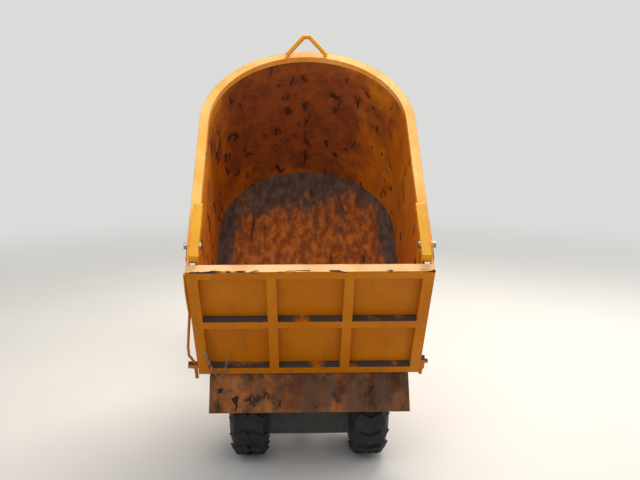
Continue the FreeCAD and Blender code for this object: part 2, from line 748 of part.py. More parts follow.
def build_skip_lip():
    """Pouring lip, folded down from the floor's front edge."""
    fold = along(at.lip_fold)
    top = above(-at.floor_drop)
    run = at.lip_length * cos(at.lip_bend)
    fall = at.lip_length * sin(at.lip_bend)
    thick_y = at.lip_plate * sin(at.lip_bend)
    thick_z = at.lip_plate * cos(at.lip_bend)
    points = [
        (fold, top),
        (fold - run, top - fall),
        (fold - run + thick_y, top - fall - thick_z),
        (fold, top - at.lip_plate),
    ]
    return on_skip(slab("x", (-at.lip_half, at.lip_half), points))


# Cross bars under the skip: distance behind the gate's foot, half length, depth
CROSS_BARS = (
    (60, 170, 30),
    (200, 430, 18),
    (750, 430, 30),
    (1100, 150, 30),
)


def under_skip():
    """Underside of the skip's floor, the bearers' foot and their inside."""
    top = above(-at.floor_drop) - at.skip_wall
    return top, top - at.under_deep, at.under_out - at.under_rail


def build_bearers():
    """Two bearers under the floor, each with the ear that hangs down round the tip pivot."""
    top, foot, inner = under_skip()
    things = []
    for side in (-1, 1):
        y = (along(at.under_start), along(at.under_end))
        rail = block(pair(side, inner, at.under_out), y, (foot, top))
        span = pair(side, inner, inner + at.pivot_ear_plate)
        ear = slab("x", span, [
            (-at.pivot_ear_top, foot), (-at.pivot_ear, 0), (at.pivot_ear, 0), (at.pivot_ear_top, foot)])
        boss = rod("x", at.pivot_ear, span, (0, 0))
        bore = rod("x", at.pivot_radius + at.running_fit, span, (0, 0))
        things.append(cut(join([rail, ear, boss]), [bore]))
    return on_skip(gather(things))


def build_cross_bars():
    """Cross bars between and beside the bearers, one pair with the lugs of the cylinder's eye."""
    top, _, inner = under_skip()
    things = []
    for back, half, deep in CROSS_BARS:
        y, z = (along(back), along(at.cross_bar + back)), (top - deep, top)
        things.append(block((-inner, inner), y, z))
        if half > at.under_out.value:
            things += [block(pair(side, at.under_out, half), y, z) for side in (-1, 1)]
    eye = (at.tip_eye_back, at.tip_eye_up)
    lug_out = at.eye_lug_in + at.eye_lug_plate
    for side in (-1, 1):
        span = pair(side, at.eye_lug_in, lug_out)
        lug = slab("x", span, [
            (eye[0] - at.eye_lug_root, top), (eye[0] - at.eye_lug_radius, eye[1]),
            (eye[0] + at.eye_lug_radius, eye[1]), (eye[0] + at.eye_lug_root, top)])
        boss = rod("x", at.eye_lug_radius, span, eye)
        pin = rod("x", at.ram_pin, pair(side, at.eye_lug_in, at.eye_pin_half), eye)
        y = (eye[0], eye[0] + at.cross_bar)
        bar = block(pair(side, lug_out, inner), y, (top - at.under_deep / 2, top))
        things.append(join([lug, boss, pin, bar]))
    return on_skip(gather(things))


def build_handle():
    """Bent round bar on the middle of the skip's back edge."""
    low = -at.handle_foot
    points = [
        (-at.handle_half, low),
        (-at.handle_top, at.handle_tall),
        (at.handle_top, at.handle_tall),
        (at.handle_half, low),
    ]
    middle = at.skip_half + at.rim_width / 2
    arc = root(middle * middle - at.handle_half * at.handle_half)
    back = at.skip_length + arc - at.handle_inset
    foot = above(edge_height(back)) + at.handle_radius
    return on_skip(bent_bar(points, at.handle_radius), (0, along(back), foot), -at.handle_lean)


def hinge_bar_out():
    """Outside of the bars that carry the gate's hinge."""
    return at.ear_reach - at.ear_plate - at.ear_gap


def build_hinge_bars():
    """Bars on the skip's edge that carry the gate's hinge bolts, a hole in each rear end."""
    start, end = at.hinge_bar_start, at.hinge_bar_start + at.hinge_bar_long
    radius = at.hinge_bar_tall / 2
    nose_y = end - radius
    things = []
    for side in (-1, 1):
        span = pair(side, hinge_bar_out() - at.hinge_bar, hinge_bar_out())
        body = block(span, (start, nose_y), (0, at.hinge_bar_tall))
        nose = rod("x", radius, span, (nose_y, radius))
        bolt = rod("x", at.hinge_pin + at.running_fit, span, hinge_on_edge())
        hole = rod("x", at.lashing_eye, span, (nose_y, radius))
        things.append(cut(join([body, nose]), [bolt, hole]))
    return on_edge(gather(things))


def hinge_on_edge():
    """Gate hinge as (y, z) in the frame of the skip's edge."""
    turn = at.gate_lean + at.rim_rise
    y, z = at.hinge_back, at.hinge_rise
    return (y * cos(turn) + z * sin(turn), z * cos(turn) - y * sin(turn))


def build_hinge_bolts():
    """Gate's hinge bolts, with a head inside and a nut outside."""
    place = (at.hinge_back, at.gate_height + at.hinge_rise)
    inner = hinge_bar_out() - at.hinge_bar
    nut_start = at.ear_reach + at.nut_play
    things = []
    for side in (-1, 1):
        shank = rod("x", at.hinge_pin, pair(side, inner - at.bolt_end, at.ear_reach + at.bolt_end), place)
        head = rod("x", at.bolt_head, pair(side, inner - at.bolt_head_thick, inner), place)
        nut = rod("x", at.bolt_head, pair(side, nut_start, nut_start + at.nut_thick), place)
        things.append(join([shank, head, nut]))
    return on_gate(gather(things))


def build_gate_panel():
    """Sheet on the back of the gate's bars."""
    height = (0, at.gate_height)
    return on_gate(block((-at.gate_half, at.gate_half), (at.gate_frame, gate_depth), height))


def build_gate_frame():
    """Bars on the face of the gate: three rails, two stiles and two ribs."""
    width, depth = (-at.gate_half, at.gate_half), (0, at.gate_frame)
    rails = (
        # foot, height
        (as_size(0), at.foot_rail),
        (at.mid_rail_foot, at.mid_rail),
        (at.gate_height - at.top_rail, at.top_rail),
    )
    things = [block(width, depth, (foot, foot + tall)) for foot, tall in rails]
    rib = at.gate_panel / 2
    uprights = ((rib, rib + at.gate_rib), (at.gate_half - at.stile_width, at.gate_half))
    for inner, outer in uprights:
        things += [block(pair(side, inner, outer), depth, (0, at.gate_height)) for side in (-1, 1)]
    return on_gate(join(things))


def build_gate_ears():
    """Plates from the gate's top corners back over the edge bar to the hinge bolts."""
    top = at.gate_height
    y, z = at.hinge_back, top + at.hinge_rise
    ahead = gate_depth + at.rim_start - at.ear_clear
    points = [
        (gate_depth, top - at.ear_root),
        (ahead, top - at.ear_root),
        (ahead, top + at.ear_lift),
        (y, z - at.ear_eye),
        (y, z + at.ear_eye),
        (gate_depth, top),
    ]
    bore = at.hinge_pin + at.hinge_play
    things = []
    for side in (-1, 1):
        span = pair(side, at.ear_reach - at.ear_plate, at.ear_reach)
        things.append(ring_plate("x", span, points, (y, z), at.ear_eye, bore))
    return on_gate(gather(things))


# Strap of the left lock: distance beyond its resting line, height over the gate's foot
LOCK_ROUTE = ((0, 640), (3, 520), (1, 400), (28, 178), (30, 115), (12, 70), (4, 52))


def build_gate_lock():
    """Rod, boss and pins that hold the gate's foot, fixed to the gate's edges."""
    edge = at.gate_half
    middle = at.gate_frame / 2
    start = edge + at.lock_rod
    left = [
        put(bent_bar([(-(start + out), height) for out, height in LOCK_ROUTE], at.lock_rod), (0, middle, 0)),
        rod("x", at.lock_boss, (-(edge + at.lock_boss_long), -edge), (middle, at.lock_boss_height)),
        rod("z", at.lock_pin, (-at.lock_pin_drop, at.lock_boss_height), (-(edge + at.lock_pin_out), middle)),
    ]
    y = (middle - at.lock_lug_half, middle + at.lock_lug_half)
    right = [
        block((edge, edge + at.lock_lug), y, (at.lock_lug_foot, at.lock_lug_top)),
        rod("z", at.lock_pin, (-at.lock_stub_drop, at.lock_stub_top), (edge + at.lock_lug / 2, middle)),
        rod("x", at.lock_knob, (edge, edge + at.lock_knob_long), (middle, at.lock_knob_height)),
    ]
    return on_gate(gather([join(left), join(right)]))


# Cross members between the front rails: back and front, ahead of the steering pin
FRONT_MEMBERS = ((620, 570), (245, 190))


def build_front_chassis():
    """Rails, front plate, cross members, pivot plates and the lugs of the steering cylinder."""
    inner, outer = at.front_rail_in, at.front_rail_in + at.rail_width
    nose = front_axle_y - at.front_nose
    height = (at.rail_foot, rail_top)
    half = at.front_plate_half
    things = [block(pair(side, inner, outer), (nose, -at.rail_end), height) for side in (-1, 1)]
    things.append(block((-half, half), (nose - at.front_plate, nose), (at.front_plate_foot, rail_top)))
    for front, back in FRONT_MEMBERS:
        things.append(block((-inner, inner), (-front, -back), height))
    top, foot, radius = at.pivot_height, at.pivot_plate_foot, at.pivot_ear
    plate = [(pivot_y - foot, rail_top), (pivot_y - radius, top)]
    plate += [(pivot_y + radius, top), (pivot_y + foot, rail_top)]
    bores = []
    for side in (-1, 1):
        span = pair(side, at.upright_out - at.upright, at.upright_out)
        things += [slab("x", span, plate), rod("x", radius, span, (pivot_y, top))]
        bores.append(rod("x", at.pivot_radius + at.running_fit, span, (pivot_y, top)))
    z = at.steer_height
    low, gap = at.steer_lug_gap + at.steer_lug_plate, at.steer_lug_gap
    lug_y = (-at.steer_foot - at.steer_lug_half, -at.steer_foot + at.steer_lug_half)
    web = (inner - at.steer_lug_web, inner + at.steer_lug_lap)
    things += [
        block((web[1], outer), lug_y, (z - low, z - gap)),
        block((web[1], outer), lug_y, (z + gap, at.rail_foot)),
        block(web, lug_y, (z - low, at.rail_foot + at.steer_lug_plate)),
    ]
    pin_span = (z - low - at.overrun, at.rail_foot - at.overrun)
    bores.append(rod("z", at.steer_pin_small + at.running_fit, pin_span, (at.arm_reach, -at.steer_foot)))
    return cut(join(things + build_yoke(outer)), bores + yoke_bores())


def yoke_bores():
    """Bores of the tip cylinder's foot pin and of the steering pin."""
    reach = (-at.ram_foot_pin_half, at.ram_foot_pin_half)
    span = (at.yoke_lower - at.overrun, yoke_top + at.yoke_plate + at.overrun)
    return [
        rod("x", at.ram_pin + at.running_fit, reach, ram_foot_place()),
        rod("z", at.steer_pin + at.running_fit, span, (0, 0)),
    ]


def build_yoke(outer):
    """Plates of the steering yoke and of the tip cylinder's bracket."""
    foot, radius = ram_foot_place(), at.ram_lug_radius
    back, front = -FRONT_MEMBERS[-1][0], -at.yoke_start
    shape = [
        (foot[0] - radius, foot[1]), (foot[0] + radius, foot[1]), (front, at.rail_foot + at.ram_lug_plate),
        (back, rail_top - at.overrun), (back, at.rail_foot + at.ram_lug_radius)]
    things = []
    for side in (-1, 1):
        span = pair(side, at.ram_lug_in, at.ram_lug_in + at.ram_lug_plate)
        things += [slab("x", span, shape), rod("x", radius, span, foot)]
        web = pair(side, at.yoke_web_in, at.yoke_web_in + at.yoke_plate)
        things.append(block(web, (front, -at.yoke_web_end), (yoke_bottom, yoke_top)))
    radius = at.yoke_radius
    start = front - at.yoke_overlap
    waist = -at.yoke_waist
    taper = [(-outer, start), (-outer, waist), (-radius, 0), (radius, 0), (outer, waist), (outer, start)]
    for low in (yoke_top, at.yoke_lower):
        span = (low, low + at.yoke_plate)
        things += [slab("z", span, taper), rod("z", radius, span, (0, 0))]
    return things


def ram_foot_place():
    """Foot pin of the tip cylinder as (y, z)."""
    return (front_axle_y + at.ram_foot_back, at.ram_foot_height)


def build_pins():
    """Tip pivot shaft, cylinder foot pin, steering pin and steering cylinder foot pin."""
    reach = at.under_out - at.under_rail + at.pivot_ear_plate + at.shaft_collar + at.overrun
    place = (pivot_y, at.pivot_height)
    things = [rod("x", at.pivot_radius, (-reach, reach), place)]
    for side in (-1, 1):
        span = pair(side, reach - at.shaft_collar, reach)
        things.append(rod("x", at.pivot_radius + at.shaft_collar, span, place))
    top = yoke_top + at.yoke_plate
    steer = [
        rod("z", at.steer_pin, (at.yoke_lower - at.pin_head_thick, top), (0, 0)),
        rod("z", at.steer_pin + at.pin_head, (top, top + at.pin_head_thick), (0, 0)),
    ]
    low = at.steer_height - at.steer_lug_gap - at.steer_lug_plate - at.bolt_end
    return gather([
        join(things),
        rod("x", at.ram_pin, (-at.ram_foot_pin_half, at.ram_foot_pin_half), ram_foot_place()),
        join(steer),
        rod("z", at.steer_pin_small, (low, at.rail_foot - at.overrun), (at.arm_reach, -at.steer_foot)),
    ])


def build_axle(y):
    """Axle tube with a swollen middle and wheel stubs."""
    tube_end = wheel_middle - at.tyre_width / 2 - at.axle_shoulder
    stub_end = wheel_middle + at.disc_out + at.stub_past
    cone = at.diff_half + at.diff_cone
    half = [
        (at.diff_half, at.diff_radius),
        (cone, at.axle_radius),
        (tube_end, at.axle_radius),
        (tube_end, at.stub_radius),
        (stub_end, at.stub_radius),
        (stub_end, 0),
    ]
    points = [(-x, radius) for x, radius in reversed(half)] + half
    return put(turned(points), (0, y, hub_height))


def build_axle_with_pads(y, inner):
    """Axle with the saddle blocks that carry the rails."""
    span = (y - at.saddle_half, y + at.saddle_half)
    things = [build_axle(y)]
    for side in (-1, 1):
        things.append(block(pair(side, inner, inner + at.rail_width), span, (hub_height, at.rail_foot)))
    return join(things)


def build_stops():
    """Blocks on the front rails that the lowered skip rests on."""
    top = at.pivot_height + under_skip()[1] - at.moving_gap
    y = (-at.stop_start, -at.stop_start + at.stop_long)
    x = shrink((at.front_rail_in, at.front_rail_in + at.rail_width), at.stop_in)
    return gather([block(pair(side, x[0], x[1]), y, (rail_top, top)) for side in (-1, 1)])


def build_steer_block():
    """Casting on the steering pin with the swing shaft behind and the steering arm beside."""
    low, high = yoke_bottom + at.block_play, yoke_top - at.block_play
    axis = (0, at.swing_height)
    z = (at.steer_height - at.arm_half, at.steer_height + at.arm_half)
    root_x, wide, eye = at.steer_pin, at.arm_root, at.arm_eye
    arm = [(root_x, -wide), (root_x, wide), (at.arm_reach, eye), (at.arm_reach, -eye)]
    gap = at.nut_play
    nut = at.swing_end + 2 * gap
    things = [
        rod("z", at.yoke_radius, (low, high), (0, 0)),
        rod("y", at.swing_shaft, (0, at.swing_end + at.swing_stub), axis),
        rod("y", at.swing_shaft + at.collar, (at.swing_shaft, at.swing_start - gap), axis),
        rod("y", at.swing_shaft + at.swing_nut, (nut, nut + at.swing_nut_long), axis),
        slab("z", z, arm),
        rod("z", eye, z, (at.arm_reach, 0)),
    ]
    bores = [
        rod("z", at.steer_pin + at.running_fit, (low, high), (0, 0)),
        rod("z", at.steer_pin_small + at.running_fit, z, (at.arm_reach, 0)),
    ]
    return cut(join(things), bores)


def build_steer_barrel():
    """Steering cylinder's barrel with its gland and the eye at its foot."""
    y, half = -at.steer_foot, at.steer_eye_half
    x, z = at.arm_reach, at.steer_height
    end = y + at.steer_barrel_long
    eye = rod("z", at.steer_eye, (z - half, z + half), (x, y))
    neck = block((x - half, x + half), (y, y + at.steer_neck), (z - half, z + half))
    barrel = rod("y", at.steer_barrel, (y + at.steer_neck, end), (x, z))
    gland = rod("y", at.steer_barrel + at.ram_gland, (end - at.ram_gland_long, end), (x, z))
    tools = [
        rod("z", at.steer_pin_small + at.running_fit, (z - half, z + half), (x, y)),
        rod("y", at.steer_rod + at.running_fit, (y + at.steer_bore_foot, end + at.overrun), (x, z)),
    ]
    return cut(join([eye, neck, barrel, gland]), tools)


def build_steer_rod():
    """Steering cylinder's rod with a fork round the steering arm and the ends of its pin."""
    x, z, half = at.arm_reach, at.steer_height, at.fork_half
    root_y = -at.fork_root
    things = [
        rod("y", at.steer_rod, (-at.steer_foot + at.steer_rod_start, root_y), (x, z)),
        block((x - half, x + half), (root_y - at.wall_thin, root_y), (z - at.fork_tall, z + at.fork_tall)),
    ]
    for side in (-1, 1):
        low, high = sorted((at.fork_slot * side, at.fork_tall * side), key=lambda size: size.value)
        span = (z + low, z + high)
        things += [block((x - half, x + half), (root_y, 0), span), rod("z", half, span, (x, 0))]
        low, high = sorted((at.fork_slot * side, at.fork_pin * side), key=lambda size: size.value)
        things.append(rod("z", at.steer_pin_small, (z + low, z + high), (x, 0)))
    return join(things)


def ram_angle():
    """Angle of the tip cylinder from upright about X, and its length, as it stands."""
    tilt = at.tip_angle
    eye_y = pivot_y + at.tip_eye_back * cos(tilt) - at.tip_eye_up * sin(tilt)
    eye_z = at.pivot_height + at.tip_eye_back * sin(tilt) + at.tip_eye_up * cos(tilt)
    foot_y, foot_z = ram_foot_place()
    run, rise = foot_y - eye_y, eye_z - foot_z
    value = math.degrees(math.atan2(run.value, rise.value))
    return Size(value, "atan(%s / %s)" % (run.text, rise.text)), root(run * run + rise * rise)


def on_ram(thing):
    """Place a thing whose zero is the cylinder's foot pin and whose Z runs to the upper eye."""
    angle, _ = ram_angle()
    y, z = ram_foot_place()
    return lean(thing, (0, y, z), angle)


def build_ram_barrel():
    """Tip cylinder's barrel with its gland, its foot eye between the bracket's plates."""
    half, end = at.ram_eye_half, at.ram_barrel_long
    things = [
        rod("x", at.ram_lug_radius, (-half, half), (0, 0)),
        rod("z", at.ram_barrel, (at.ram_neck, end), (0, 0)),
        rod("z", at.ram_barrel + at.ram_gland, (end - at.ram_gland_long, end), (0, 0)),
    ]
    tools = [
        rod("x", at.ram_pin + at.running_fit, (-half, half), (0, 0)),
        rod("z", at.ram_rod + at.running_fit, (at.ram_bore_foot, end + at.overrun), (0, 0)),
    ]
    return on_ram(cut(join(things), tools))


def build_ram_rod():
    """Tip cylinder's rod and its upper eye."""
    _, length = ram_angle()
    half = at.eye_lug_in - at.block_play
    bar = rod("z", at.ram_rod, (at.ram_barrel_long - at.ram_rod_in, length), (0, 0))
    eye = rod("x", at.eye_lug_radius, (-half, half), (0, length))
    bore = rod("x", at.ram_pin + at.running_fit, (-half, half), (0, length))
    return on_ram(cut(join([bar, eye]), [bore]))


# Behind the steering pin: cross members, brackets of the steps and tanks, deck posts
REAR_MEMBERS = (400, 1010, 1150)
REAR_BRACKETS = (345, 1020, 1150)
DECK_POSTS = (500, 740)


def build_rear_chassis():
    """Rails, swing housing, cross members, posts and the brackets of steps and tanks."""
    inner, outer = at.rear_rail_in, at.rear_rail_in + at.rail_width
    start, end = at.swing_end - at.yoke_plate, at.tail_end - at.tail_thick
    axis, thin = (0, at.swing_height), at.wall_thin
    deck = at.deck_height - at.deck_plate
    things = [
        block((-outer, outer), (start, at.swing_end), (at.swing_height - at.swing_tube - thin, rail_top)),
        rod("y", at.swing_tube, (at.swing_start, at.swing_end), axis),
    ]
    web_y, web_z = at.swing_start + at.yoke_overlap, at.swing_height
    web = [(web_y, web_z - at.yoke_overlap), (start, web_z - at.swing_tube)]
    web += [(start, rail_top), (web_y, web_z + at.yoke_overlap)]
    for side in (-1, 1):
        things.append(slab("x", pair(side, at.ram_lug_in, at.ram_lug_in + thin), web))
        things.append(block(pair(side, inner, outer), (start, end), (at.rail_foot, rail_top)))
        for back in REAR_BRACKETS:
            y, z = (back, back + at.bracket), (at.rail_foot, at.rail_foot + at.bracket)
            things.append(block(pair(side, outer, at.bracket_out), y, z))
        for back in DECK_POSTS:
            y = (back, back + at.under_rail)
            things.append(block(pair(side, inner + thin, outer - thin), y, (rail_top, deck)))
    for back in REAR_MEMBERS:
        things.append(block((-inner, inner), (back, back + at.cross_bar), (at.rail_foot + thin, rail_top)))
    span = (at.swing_start - at.overrun, at.swing_end + at.overrun)
    return cut(join(things), [rod("y", at.swing_shaft + at.running_fit, span, axis)])


def build_steps():
    """Tread plates on the step brackets."""
    low = at.rail_foot + at.bracket
    y = (at.step_front, at.step_front + at.step_long)
    z = (low, low + at.step_plate)
    return gather([block(pair(side, at.step_in, at.step_out), y, z) for side in (-1, 1)])


def build_deck():
    """Floor plate and mudguards in one sheet, its edges turned down and its corners rounded."""
    half, plate, radius, over = at.deck_half, at.deck_plate, at.deck_corner, at.overrun
    cover = at.housing_half - at.deck_ledge
    x, y = (-half, half), (at.deck_front, at.deck_rear)
    top, foot = at.deck_height, at.deck_height - at.skirt
    outer = rounded_block("z", x, y, (foot, top), radius)
    z = (foot - over, top - plate)
    inner = rounded_block("z", shrink(x, plate), shrink(y, plate), z, radius - plate)
    back = (at.housing_front + at.deck_ledge, at.deck_rear + over)
    notch = block((-cover, cover), back, (foot - over, top + over))
    front = (at.deck_front, at.deck_front + plate)
    lip = block((radius - half, half - radius), front, (top, top + at.deck_lip))
    return join([cut(outer, [inner, notch]), lip])


# Side of the console: distance ahead of the steering wheel's middle, height above the deck
CONSOLE = ((160, 0), (55, 0), (40, 402), (65, 462), (120, 482), (150, 422))


def build_console():
    """Upright box with the steering column's tube and the shaft of the wheel."""
    half = at.console_half
    points = [(at.wheel_back - ahead, at.deck_height + high) for ahead, high in CONSOLE]
    tube = rod("z", at.column_tube, (-at.column_foot, -at.column_top), (0, 0))
    shaft = rod("z", at.column_shaft, (-at.column_top - at.overrun, at.shaft_past), (0, 0))
    column = lean(join([tube, shaft]), (0, at.wheel_back, at.wheel_height), -at.wheel_tilt)
    return join([slab("x", (-half, half), points), column])


def build_steering_wheel():
    """Ring, three spokes and a hub."""
    middle, tube = at.wheel_radius - at.wheel_tube, at.wheel_tube
    octagon = [
        (-tube, middle - tube / 2), (-tube / 2, middle - tube), (tube / 2, middle - tube),
        (tube, middle - tube / 2), (tube, middle + tube / 2), (tube / 2, middle + tube),
        (-tube / 2, middle + tube), (-tube, middle + tube / 2)]
    ring = turned(octagon)
    ring.Placement = FreeCAD.Placement(FreeCAD.Vector(0, 0, 0), AXES["x"].inverted())
    things = [ring]
    for turn in (90, 210, 330):
        bar = doc.addObject("Part::Box", "spoke")
        tie(bar, "Length", middle)
        tie(bar, "Width", at.spoke_width)
        tie(bar, "Height", at.spoke_thick)
        angle = FreeCAD.Rotation(FreeCAD.Vector(0, 0, 1), turn)
        holder = doc.addObject("Part::Compound", "spoke")
        holder.Links = [put(bar, (0, -at.spoke_width / 2, -at.spoke_thick / 2))]
        holder.Placement = FreeCAD.Placement(FreeCAD.Vector(0, 0, 0), angle)
        things.append(holder)
    span = (-at.hub_down, at.hub_up)
    things.append(rod("z", at.hub_radius, span, (0, 0)))
    hub = cut(join(things), [rod("z", at.column_shaft + at.running_fit, span, (0, 0))])
    return lean(hub, (0, at.wheel_back, at.wheel_height), -at.wheel_tilt)


# Levers beside the console: place in X, length; then pedals on the deck: place in X
LEVERS = ((100, 230), (-100, 200))
PEDALS = (-150, 150)
# Side of a pedal's pad, from its lower front corner: back, up
PEDAL_PAD = ((0, 0), (8, -8), (85, 65), (77, 73))


def build_levers():
    """Skip lever and drive lever on blocks at the console's sides."""
    things = []
    y = at.wheel_back - at.lever_ahead
    foot = at.deck_height + at.lever_foot
    for x, tall in LEVERS:
        half = at.lever_block
        knob = doc.addObject("Part::Sphere", "knob")
        tie(knob, "Radius", at.knob_radius)
        put(knob, (x, y, foot + tall))
        stem = rod("z", at.lever_radius, (foot, foot + tall), (x, y))
        foot_block = block((x - half, x + half), (y - half, y + half), (foot - half, foot))
        things.append(join([stem, knob, foot_block]))
    return things


def build_pedals():
    """Brake and drive pedals on the deck."""
    things = []
    y, z = at.deck_front + at.pedal_back, at.deck_height + at.pedal_lift
    for x in PEDALS:
        half = at.pedal_half
        pad = slab("x", (x - half, x + half), [(y + back, z + up) for back, up in PEDAL_PAD])
        half = at.lever_radius
        stem = block((x - half, x + half), (y, y + at.pedal_lift), (at.deck_height, z + at.pedal_lift))
        things.append(join([pad, stem]))
    return things


def build_engine():
    """Engine as one plain block on the rear rails."""
    half = at.engine_half
    return block((-half, half), (at.engine_front, at.engine_rear), (rail_top, at.engine_top))


# Cooling slots: rows above one another, their starts in X at the back and in Y at the sides
SLOT_ROWS = 3
BACK_SLOTS = (-190, -60, 70)
SIDE_SLOTS = (860, 1000, 1140)


def back_slots(lowest):
    """Rows of slots through the back of a cover."""
    y = (at.housing_rear - 2 * at.cover_plate, at.housing_rear + at.overrun)
    things = []
    for row in range(SLOT_ROWS):
        low = lowest + at.slot_pitch * row
        for x in BACK_SLOTS:
            things.append(block((x, at.slot_long + x), y, (low, low + at.slot_tall)))
    return things


def side_slots(lowest):
    """Rows of slots through both sides of a cover."""
    things = []
    for row in range(SLOT_ROWS):
        low = lowest + at.slot_pitch * row
        for side in (-1, 1):
            x = pair(side, at.housing_half - 2 * at.cover_plate, at.housing_half + at.overrun)
            for y in SIDE_SLOTS:
                things.append(block(x, (y, at.slot_side + y), (low, low + at.slot_tall)))
    return things


def build_housing():
    """Fixed lower engine cover, open above and below, with cooling slots."""
    half, plate, over = at.housing_half, at.cover_plate, at.overrun
    x, y = (-half, half), (at.housing_front, at.housing_rear)
    outer = block(x, y, (at.deck_height, at.housing_top))
    inner = block(shrink(x, plate), shrink(y, plate), (at.deck_height - over, at.housing_top + over))
    return cut(outer, [inner] + back_slots(at.slot_low) + side_slots(at.slot_low))


def build_bonnet():
    """Hinged upper engine cover, open below, its back corner cut off on a slope."""
    half, low = at.housing_half, at.housing_top + at.moving_gap

    def skin(inset, past):
        """Outline of the cover moved inwards, its foot moved down."""
        front, rear, high = at.housing_front + inset, at.housing_rear - inset, at.bonnet_top - inset
        slope, edge, foot = at.bonnet_round, at.bonnet_edge, low - past
        points = [(front, foot), (rear, foot), (rear, high - slope)]
        points += [(rear - slope, high), (front + edge, high), (front, high - edge)]
        return slab("x", (inset - half, half - inset), points)

    shell = cut(skin(0, 0), [skin(at.cover_plate, at.overrun)] + back_slots(at.slot_bonnet))
    place = bonnet_axis()
    things = [shell]
    for side in (-1, 1):
        span = pair(side, at.hinge_mid + at.hinge_gap, at.hinge_out)
        things.append(rod("x", at.knuckle, span, place))
        y = (at.housing_rear, at.housing_rear + at.knuckle)
        things.append(block(span, y, (place[1], low + at.leaf_up)))
    bore = rod("x", at.knuckle_pin + at.running_fit, (-half, half), place)
    return cut(join(things), [bore])


def bonnet_axis():
    """Bonnet hinge as (y, z)."""
    return (at.housing_rear + at.knuckle + at.hinge_off, at.housing_top - at.hinge_drop)


def build_bonnet_hinges():
    """Fixed halves of the bonnet's hinges, each with its pin, on the back of the cover."""
    place = bonnet_axis()
    y = (at.housing_rear, at.housing_rear + at.knuckle)
    things = []
    for side in (-1, 1):
        span = pair(side, at.hinge_in, at.hinge_mid - at.hinge_gap)
        knuckle = rod("x", at.knuckle, span, place)
        pin = rod("x", at.knuckle_pin, pair(side, at.hinge_in, at.hinge_out + at.bolt_end), place)
        leaf = block(span, y, (place[1] - at.leaf_down, place[1]))
        things.append(join([knuckle, pin, leaf]))
    return gather(things)


def build_seat_pan():
    """Steel pan that carries the cushion and the back."""
    half, foot = at.seat_half, at.bonnet_top
    front, rear = at.seat_front, at.seat_front + at.seat_long
    x = (at.pan_inset - half, half - at.pan_inset)
    base = block(x, (front + at.pan_inset, rear), (foot, foot + at.pan_thick))
    x = (at.stay_inset - half, half - at.stay_inset)
    top = foot + at.seat_thick + at.back_tall - at.stay_drop
    return join([base, block(x, (rear, rear + at.stay_thick), (foot, top))])


def build_seat_cushion():
    """Seat cushion as a plain pad."""
    half, front, edge, nose = at.seat_half, at.seat_front, at.pad_edge, at.pad_nose
    foot = at.bonnet_top + at.pan_thick + at.seat_gap
    top = foot + at.seat_thick
    rear = front + at.seat_long - at.back_thick - at.hinge_off
    points = [(front, foot + edge), (front + edge, foot), (rear, foot)]
    points += [(rear, top - edge), (front + nose, top), (front, top - nose / 2)]
    return slab("x", (-half, half), points)


def build_seat_back():
    """Back cushion as a plain pad."""
    half, nose = at.seat_half, at.pad_nose
    rear = at.seat_front + at.seat_long - at.seat_gap
    front = rear - at.back_thick
    foot = at.bonnet_top + at.pan_thick + at.seat_gap + at.stay_thick
    top = foot + at.back_tall
    points = [(front, foot), (rear, foot), (rear, top), (front + nose / 2, top), (front, top - nose)]
    return slab("x", (-half, half), points)


def build_tail():
    """Cast tail weight across the ends of the rails, its lower corners slanted."""
    half, corner, foot = at.tail_half, at.tail_corner, at.tail_foot
    points = [(-half, foot + corner), (corner - half, foot), (half - corner, foot)]
    points += [(half, foot + corner), (half, at.tail_top), (-half, at.tail_top)]
    return slab("y", (at.tail_end - at.tail_thick, at.tail_end), points)


def build_hitch():
    """Tow jaw: two plates with a bore for the tow pin."""
    start, over = at.tail_end, at.hitch_plate_over
    y = (start, start + at.hitch_long)
    foot, top = at.jaw_low - over, at.jaw_low + at.jaw_pitch + at.jaw_plate + over
    things = [
        block((-at.jaw_half, at.jaw_half), y, (low, low + at.jaw_plate))
        for low in (at.jaw_low, at.jaw_low + at.jaw_pitch)
    ]
    x = (-at.hitch_plate_half, at.hitch_plate_half)
    things.append(block(x, (start, start + at.hitch_plate), (foot, top)))
    place = (0, start + at.hitch_long / 2 + at.hitch_offset)
    return cut(join(things), [rod("z", at.hitch_bore, (foot, top), place)])


def build_tank(side):
    """Tank on the outer brackets behind a rear wheel, with its filler cap."""
    low = at.rail_foot + at.bracket
    inner, outer, corner = at.tank_in, at.deck_half, at.tank_corner
    top = at.tank_top
    points = [(inner, low), (outer - corner, low), (outer, low + corner), (outer, top), (inner, top)]
    body = slab("y", (at.tank_front, at.tank_rear), [(side * x, z) for x, z in points])
    place = (side * (inner + outer) / 2, (at.tank_front + at.tank_rear) / 2)
    return join([body, rod("z", at.tank_cap, (top, top + at.tank_cap_tall), place)])


def build_exhaust():
    """Silencer and tail pipe beside the engine cover."""
    x, z = at.exhaust_out, at.exhaust_height
    silencer = rod("y", at.silencer, (at.exhaust_front, at.exhaust_rear), (x, z))
    tail = rod("z", at.exhaust_pipe, (z, at.exhaust_top), (x, at.exhaust_rear - at.exhaust_end))
    feed = rod("x", at.exhaust_feed, (at.housing_half, x), (at.exhaust_front + at.exhaust_end, z))
    return join([silencer, tail, feed])


